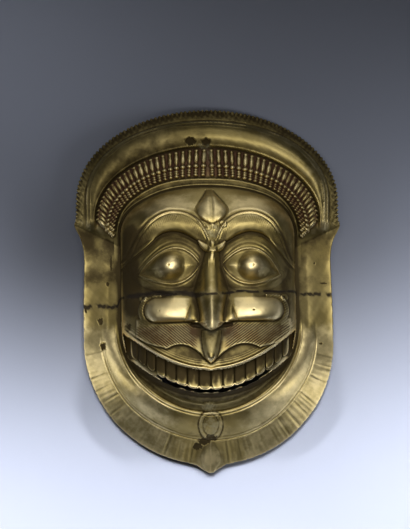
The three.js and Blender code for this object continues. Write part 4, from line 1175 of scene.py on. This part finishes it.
def add_node(tree, kind, settings, inputs):
    """A node with its settings, and its inputs by name or number."""
    made = tree.nodes.new(kind)
    for name, value in settings.items():
        setattr(made, name, value)
    for key, value in inputs.items():
        link_value(tree, made.inputs[key], value)
    return made


def maths(tree, operation, a, b, clamp=False):
    settings = {"operation": operation, "use_clamp": clamp}
    return add_node(tree, "ShaderNodeMath", settings, {0: a, 1: b}).outputs[0]


def combined(tree, operation, value, terms, clamp=False):
    """A value with the (input, share) terms added or taken off one after another."""
    for number, (term, share) in enumerate(terms, 1):
        part = term if share is None else maths(tree, "MULTIPLY", term, share)
        value = maths(tree, operation, value, part, clamp and number == len(terms))
    return value


def ranged(tree, value, low, high, to_low=0, to_high=1):
    inputs = {"Value": value, "From Min": low, "From Max": high, "To Min": to_low, "To Max": to_high}
    made = add_node(tree, "ShaderNodeMapRange", {"interpolation_type": "SMOOTHSTEP"}, inputs)
    return made.outputs["Result"]


def mixed(tree, share, a, b):
    return add_node(tree, "ShaderNodeMix", {"data_type": "RGBA"}, {0: share, 6: a, 7: b}).outputs[2]


def noise(tree, place, scale, detail, roughness=0.6):
    inputs = {"Vector": place, "Scale": scale, "Detail": detail, "Roughness": roughness}
    return add_node(tree, "ShaderNodeTexNoise", {}, inputs).outputs["Fac"]


# Inputs of the group, and the fields of the pieces that feed them
BRASS_FIELDS = {
    "Fine Relief": "fine_relief", "Mid Relief": "mid_relief", "Wide Relief": "wide_relief",
    "Earth Band": "band", "Seam": "seam", "Grime And Painted Shade": "grime_and_painted_shade", "Rubbing And Painted Highlight": "rubbing_and_painted_highlight", "Crust": "crust",
}
DARK_BRASS, PALE_BRASS = (0.25, 0.19, 0.062, 1), (0.37, 0.29, 0.115, 1)
# Pale brass for rubbed places and for painted highlights
RUBBED_BRASS_AND_PAINTED_HIGHLIGHT = (0.78, 0.64, 0.33, 1)
# The darkest tone is for dirt and for painted shade
SPECKS, DIRT_AND_PAINTED_SHADE_TONE, RED_EARTH = (0.16, 0.11, 0.05, 1), (0.045, 0.029, 0.009, 1), (0.17, 0.085, 0.05, 1)
SEAM_BLACK, PALE_CRUST = (0.016, 0.01, 0.005, 1), (0.3, 0.28, 0.16, 1)


def handled_brass_group():
    """Old cast brass: rubbed bright where it stands proud, brown and dull where old soil has settled; the
    masks also paint in highlights and shade.
    """
    tree = bpy.data.node_groups.new("handled brass", "ShaderNodeTree")
    tree.interface.new_socket("Place", in_out="INPUT", socket_type=VECTOR)
    for label in BRASS_FIELDS:
        tree.interface.new_socket(label, in_out="INPUT", socket_type=FLOAT)
    for label, kind in (("Colour", COLOUR), ("Roughness", FLOAT), ("Metal", FLOAT), ("Grain", FLOAT)):
        tree.interface.new_socket(label, in_out="OUTPUT", socket_type=kind)
    given, out = tree.nodes.new("NodeGroupInput").outputs, tree.nodes.new("NodeGroupOutput").inputs
    place = given["Place"]
    cloud = noise(tree, place, 14, 4)
    mottle = noise(tree, place, 70, 5, 0.65)
    speck = noise(tree, place, 420, 3, 0.7)
    stretch = {0: place, 1: (900, 90, 400)}
    stretched = add_node(tree, "ShaderNodeVectorMath", {"operation": "MULTIPLY"}, stretch).outputs[0]
    scratch = noise(tree, stretched, 1, 2, 0.5)
    high = maths(tree, "MULTIPLY", given["Fine Relief"], 0.38)
    high = maths(tree, "SUBTRACT", combined(tree, "ADD", high, [(given["Mid Relief"], 0.13)]), 0.12)
    uneven = ranged(tree, mottle, 0.3, 0.7, -0.18, 0.18)
    raised = ((given["Wide Relief"], 0.02), (uneven, None), (given["Rubbing And Painted Highlight"], 0.75))
    high = combined(tree, "ADD", high, raised)
    high = combined(tree, "SUBTRACT", high, [(given["Grime And Painted Shade"], 0.8)])
    # Dirt in the hollows, and painted shade where the masks say
    dirt_and_painted_shade = ranged(tree, high, -0.12, -0.95)
    earth = maths(tree, "MULTIPLY", given["Earth Band"], ranged(tree, high, 0.14, -0.5))
    seam = maths(tree, "MULTIPLY", given["Seam"], ranged(tree, mottle, 0.25, 0.5), clamp=True)
    crust = maths(tree, "MULTIPLY", given["Crust"], ranged(tree, mottle, 0.42, 0.58), clamp=True)
    tone = mixed(tree, ranged(tree, cloud, 0.3, 0.7), DARK_BRASS, PALE_BRASS)
    tone = mixed(tree, ranged(tree, high, -0.1, 0.75), tone, RUBBED_BRASS_AND_PAINTED_HIGHLIGHT)
    for cover, share, colour in (
        (ranged(tree, speck, 0.62, 0.75), 0.35, SPECKS), (dirt_and_painted_shade, 0.92, DIRT_AND_PAINTED_SHADE_TONE), (earth, 0.85, RED_EARTH),
        (seam, 0.92, SEAM_BLACK), (crust, 0.5, PALE_CRUST),
    ):
        tone = mixed(tree, maths(tree, "MULTIPLY", cover, share), tone, colour)
    dull = ((given["Rubbing And Painted Highlight"], 0.04), (dirt_and_painted_shade, 0.35), (earth, 0.15), (crust, 0.3), (seam, 0.25))
    rough = combined(tree, "ADD", ranged(tree, mottle, 0.25, 0.75, 0.36, 0.46), dull, clamp=True)
    metal = combined(tree, "SUBTRACT", 1, ((dirt_and_painted_shade, 0.18), (crust, 0.6), (seam, 0.3)), clamp=True)
    grain = combined(tree, "ADD", maths(tree, "MULTIPLY", mottle, 0.7), ((speck, 0.25), (scratch, 0.12)))
    for label, value in (("Colour", tone), ("Roughness", rough), ("Metal", metal), ("Grain", grain)):
        link_value(tree, out[label], value)
    return tree


def new_material(name):
    material = bpy.data.materials.new(name)
    material.use_nodes = True
    tree = material.node_tree
    place = add_node(tree, "ShaderNodeTexCoord", {}, {}).outputs["Object"]
    return material, tree, tree.nodes["Principled BSDF"], place


def brass_material(name):
    material, tree, shader, place = new_material(name)
    fields = {
        label: add_node(tree, "ShaderNodeAttribute", {"attribute_name": field}, {}).outputs["Fac"]
        for label, field in BRASS_FIELDS.items()
    }
    settings = {"node_tree": handled_brass_group()}
    brass = add_node(tree, "ShaderNodeGroup", settings, {"Place": place, **fields})
    for socket, label in (("Base Color", "Colour"), ("Roughness", "Roughness"), ("Metallic", "Metal")):
        link_value(tree, shader.inputs[socket], brass.outputs[label])
    grain = {"Strength": 0.2, "Distance": 0.0005, "Height": brass.outputs["Grain"]}
    bump = add_node(tree, "ShaderNodeBump", {}, grain)
    link_value(tree, shader.inputs["Normal"], bump.outputs["Normal"])
    return material


casting_brass = brass_material("cast brass")
pieces = [make_piece(name, shape) for name, shape in shapes.items()]


# Studio: pale floor, soft lights, and the camera at the picture's angle
def floor_material():
    material, tree, shader, place = new_material("pale paper")
    tone = mixed(tree, noise(tree, place, 3, 2), (0.6, 0.62, 0.7, 1), (0.64, 0.66, 0.74, 1))
    link_value(tree, shader.inputs["Base Color"], tone)
    shader.inputs["Roughness"].default_value = 0.9
    return material


FLOOR_HALF, FLOOR_LEVEL = 3, -0.0005
floor_mesh = bpy.data.meshes.new("floor")
corners = [(FLOOR_HALF * i, FLOOR_HALF * j, FLOOR_LEVEL) for i, j in ((-1, -1), (1, -1), (1, 1), (-1, 1))]
floor_mesh.from_pydata(corners, [], [(0, 1, 2, 3)])
floor = new_object("floor", floor_mesh)
floor_mesh.materials.append(floor_material())


def lit_together(name, chosen):
    """A collection for the lights that fall on these objects alone."""
    made = bpy.data.collections.new(name)
    for one in chosen:
        made.objects.link(one)
    return made


def named(*names):
    return [piece for piece in pieces if piece.name in names]


lower_names = ("face", "hollow_back", "slot_walls", "teeth", "threads")
brass_pieces = lit_together("brass pieces", pieces)
crown_pieces = lit_together("crown pieces", named("crown", "balusters"))
below_crown = lit_together("below the crown", named("jaw_and_flaps", *lower_names))
jaw_alone = lit_together("jaw alone", named("jaw_and_flaps"))
face_pieces = lit_together("face pieces", named(*lower_names))
floor_alone = lit_together("floor alone", [floor])


def soft_light(name, place, target, size, power, falls_on, colour=(1, 1, 1), spread=180):
    data = bpy.data.lights.new(name, "AREA")
    data.shape = "RECTANGLE"
    data.size, data.size_y = size
    data.energy, data.color, data.spread = power, colour, radians(spread)
    lamp = new_object(name, data)
    lamp.location = place
    lamp.rotation_euler = (Vector(target) - Vector(place)).to_track_quat("-Z", "Y").to_euler()
    lamp.light_linking.receiver_collection = falls_on


LIT_MIDDLE = (0, 0, 0.05)


def light_place(elevation, azimuth, far):
    """A place seen from the middle of the mask: elevation above the floor, azimuth from +X."""
    e, a = radians(elevation), radians(azimuth)
    return (far * cos(e) * cos(a), far * cos(e) * sin(a), far * sin(e))


# Lights on the brass: elevation, azimuth, distance, side, watts
for name, elevation, azimuth, far, size, power, falls_on in (
    ("overhead_right", 46, 60, 1.5, 0.35, 1.3, brass_pieces),
    ("overhead_left", 46, 117, 1.5, 0.35, 1.1, brass_pieces),
    ("from_the_top", 28, 90, 1.4, 0.5, 0.9, brass_pieces),
    ("main", 66, 84, 1.6, 0.7, 3.4, face_pieces),
    ("side_right", 60, 41, 1.7, 0.6, 3.5, below_crown),
    ("side_left", 62, 139, 1.7, 0.6, 1.9, below_crown),
    ("wide_overhead", 82, 90, 2.2, 2, 24, below_crown),
    ("crown_overhead", 82, 90, 2.2, 1.4, 7, crown_pieces),
    ("crown_left", 14, 178, 1.2, 0.5, 0.9, crown_pieces),
    ("crown_right", 14, 2, 1.2, 0.5, 0.9, crown_pieces),
    ("forehead_light", 7, 84, 1.3, 0.6, 1.8, face_pieces),
    ("by_camera", 85, 290, 2.2, 0.4, 6, brass_pieces),
    ("low_right", 12, 338, 1.2, 0.5, 2.6, jaw_alone),
    ("low_left", 12, 188, 1.2, 0.5, 2.9, jaw_alone),
    ("low_front", 12, 270, 1.2, 0.5, 0.8, jaw_alone),
):
    soft_light(name, light_place(elevation, azimuth, far), LIT_MIDDLE, (size, size), power, falls_on)
# Lights on the floor: two that throw the mask's soft shadows, a wash over the front, a little at each side
SHADOW_LIGHT_FAR, SHADOW_END = 1.2, -0.49
for name, azimuth, power in (("shadow_light_right", 46, 1.8), ("shadow_light_left", 136, 1.5)):
    c, s = cos(radians(azimuth)), sin(radians(azimuth))
    place = (SHADOW_LIGHT_FAR * c, SHADOW_LIGHT_FAR * s, SHADOW_LIGHT_FAR)
    target = (SHADOW_END * c, SHADOW_END * s, 0)
    soft_light(name, place, target, (1.8, 0.06), power, floor_alone, (0.88, 0.915, 1), 16)
for name, place, target, size, power, spread in (
    ("floor_wash", (0, 0.15, 0.55), (0.02, -0.345, 0), (1.6, 0.2), 2.4, 50),
    ("floor_left", (-0.55, 0.38, 0.5), (-0.24, 0.21, 0), (0.3, 0.3), 0.08, 56),
    ("floor_right", (0.62, -0.12, 0.34), (0.24, -0.03, 0), (0.3, 0.3), 0.36, 92),
):
    soft_light(name, place, target, size, power, floor_alone, (0.85, 0.895, 1), spread)

world = bpy.data.worlds.new("studio air")
world.use_nodes = True
air = world.node_tree.nodes["Background"].inputs
air["Color"].default_value, air["Strength"].default_value = (0.95, 0.97, 1, 1), 0.02
scene = bpy.context.scene
scene.world = world

# The picture: its size, its scale at the mask's middle height, and where the mask's middle stands in it
PICTURE_WIDTH, PICTURE_HEIGHT, MM_PER_PIXEL = 410, 529, 1.15
MIDDLE_ACROSS, MIDDLE_DOWN, MASK_MIDDLE_HEIGHT = 207, 290.5, 0.03
LEFT_TURN, LOW_TURN = radians(1.2), radians(4.5)
LENS, SENSOR = 420, 36
view = Vector((-sin(LEFT_TURN), -sin(LOW_TURN), 0))
view.z = sqrt(1 - view.x ** 2 - view.y ** 2)
right = Vector((0, 1, 0)).cross(view).normalized()
up = view.cross(right)
camera_data = bpy.data.cameras.new("camera")
camera = new_object("camera", camera_data)
scene.camera = camera
camera_data.lens, camera_data.sensor_width, camera_data.sensor_fit = LENS, SENSOR, "AUTO"
across = (PICTURE_WIDTH / 2 - MIDDLE_ACROSS) * MM_PER_PIXEL * MM
upward = -(PICTURE_HEIGHT / 2 - MIDDLE_DOWN) * MM_PER_PIXEL * MM
distance = LENS / SENSOR * (PICTURE_HEIGHT * MM_PER_PIXEL * MM)
camera.location = right * across + up * upward + view * (distance + MASK_MIDDLE_HEIGHT)
camera.location += Vector((SHIFT_X, SHIFT_Y, 0)) * MM
camera.rotation_euler = Matrix((right, up, view)).transposed().to_euler()
camera_data.clip_end = 20
scene.view_settings.view_transform = "Standard"
scene.view_settings.look = "None"
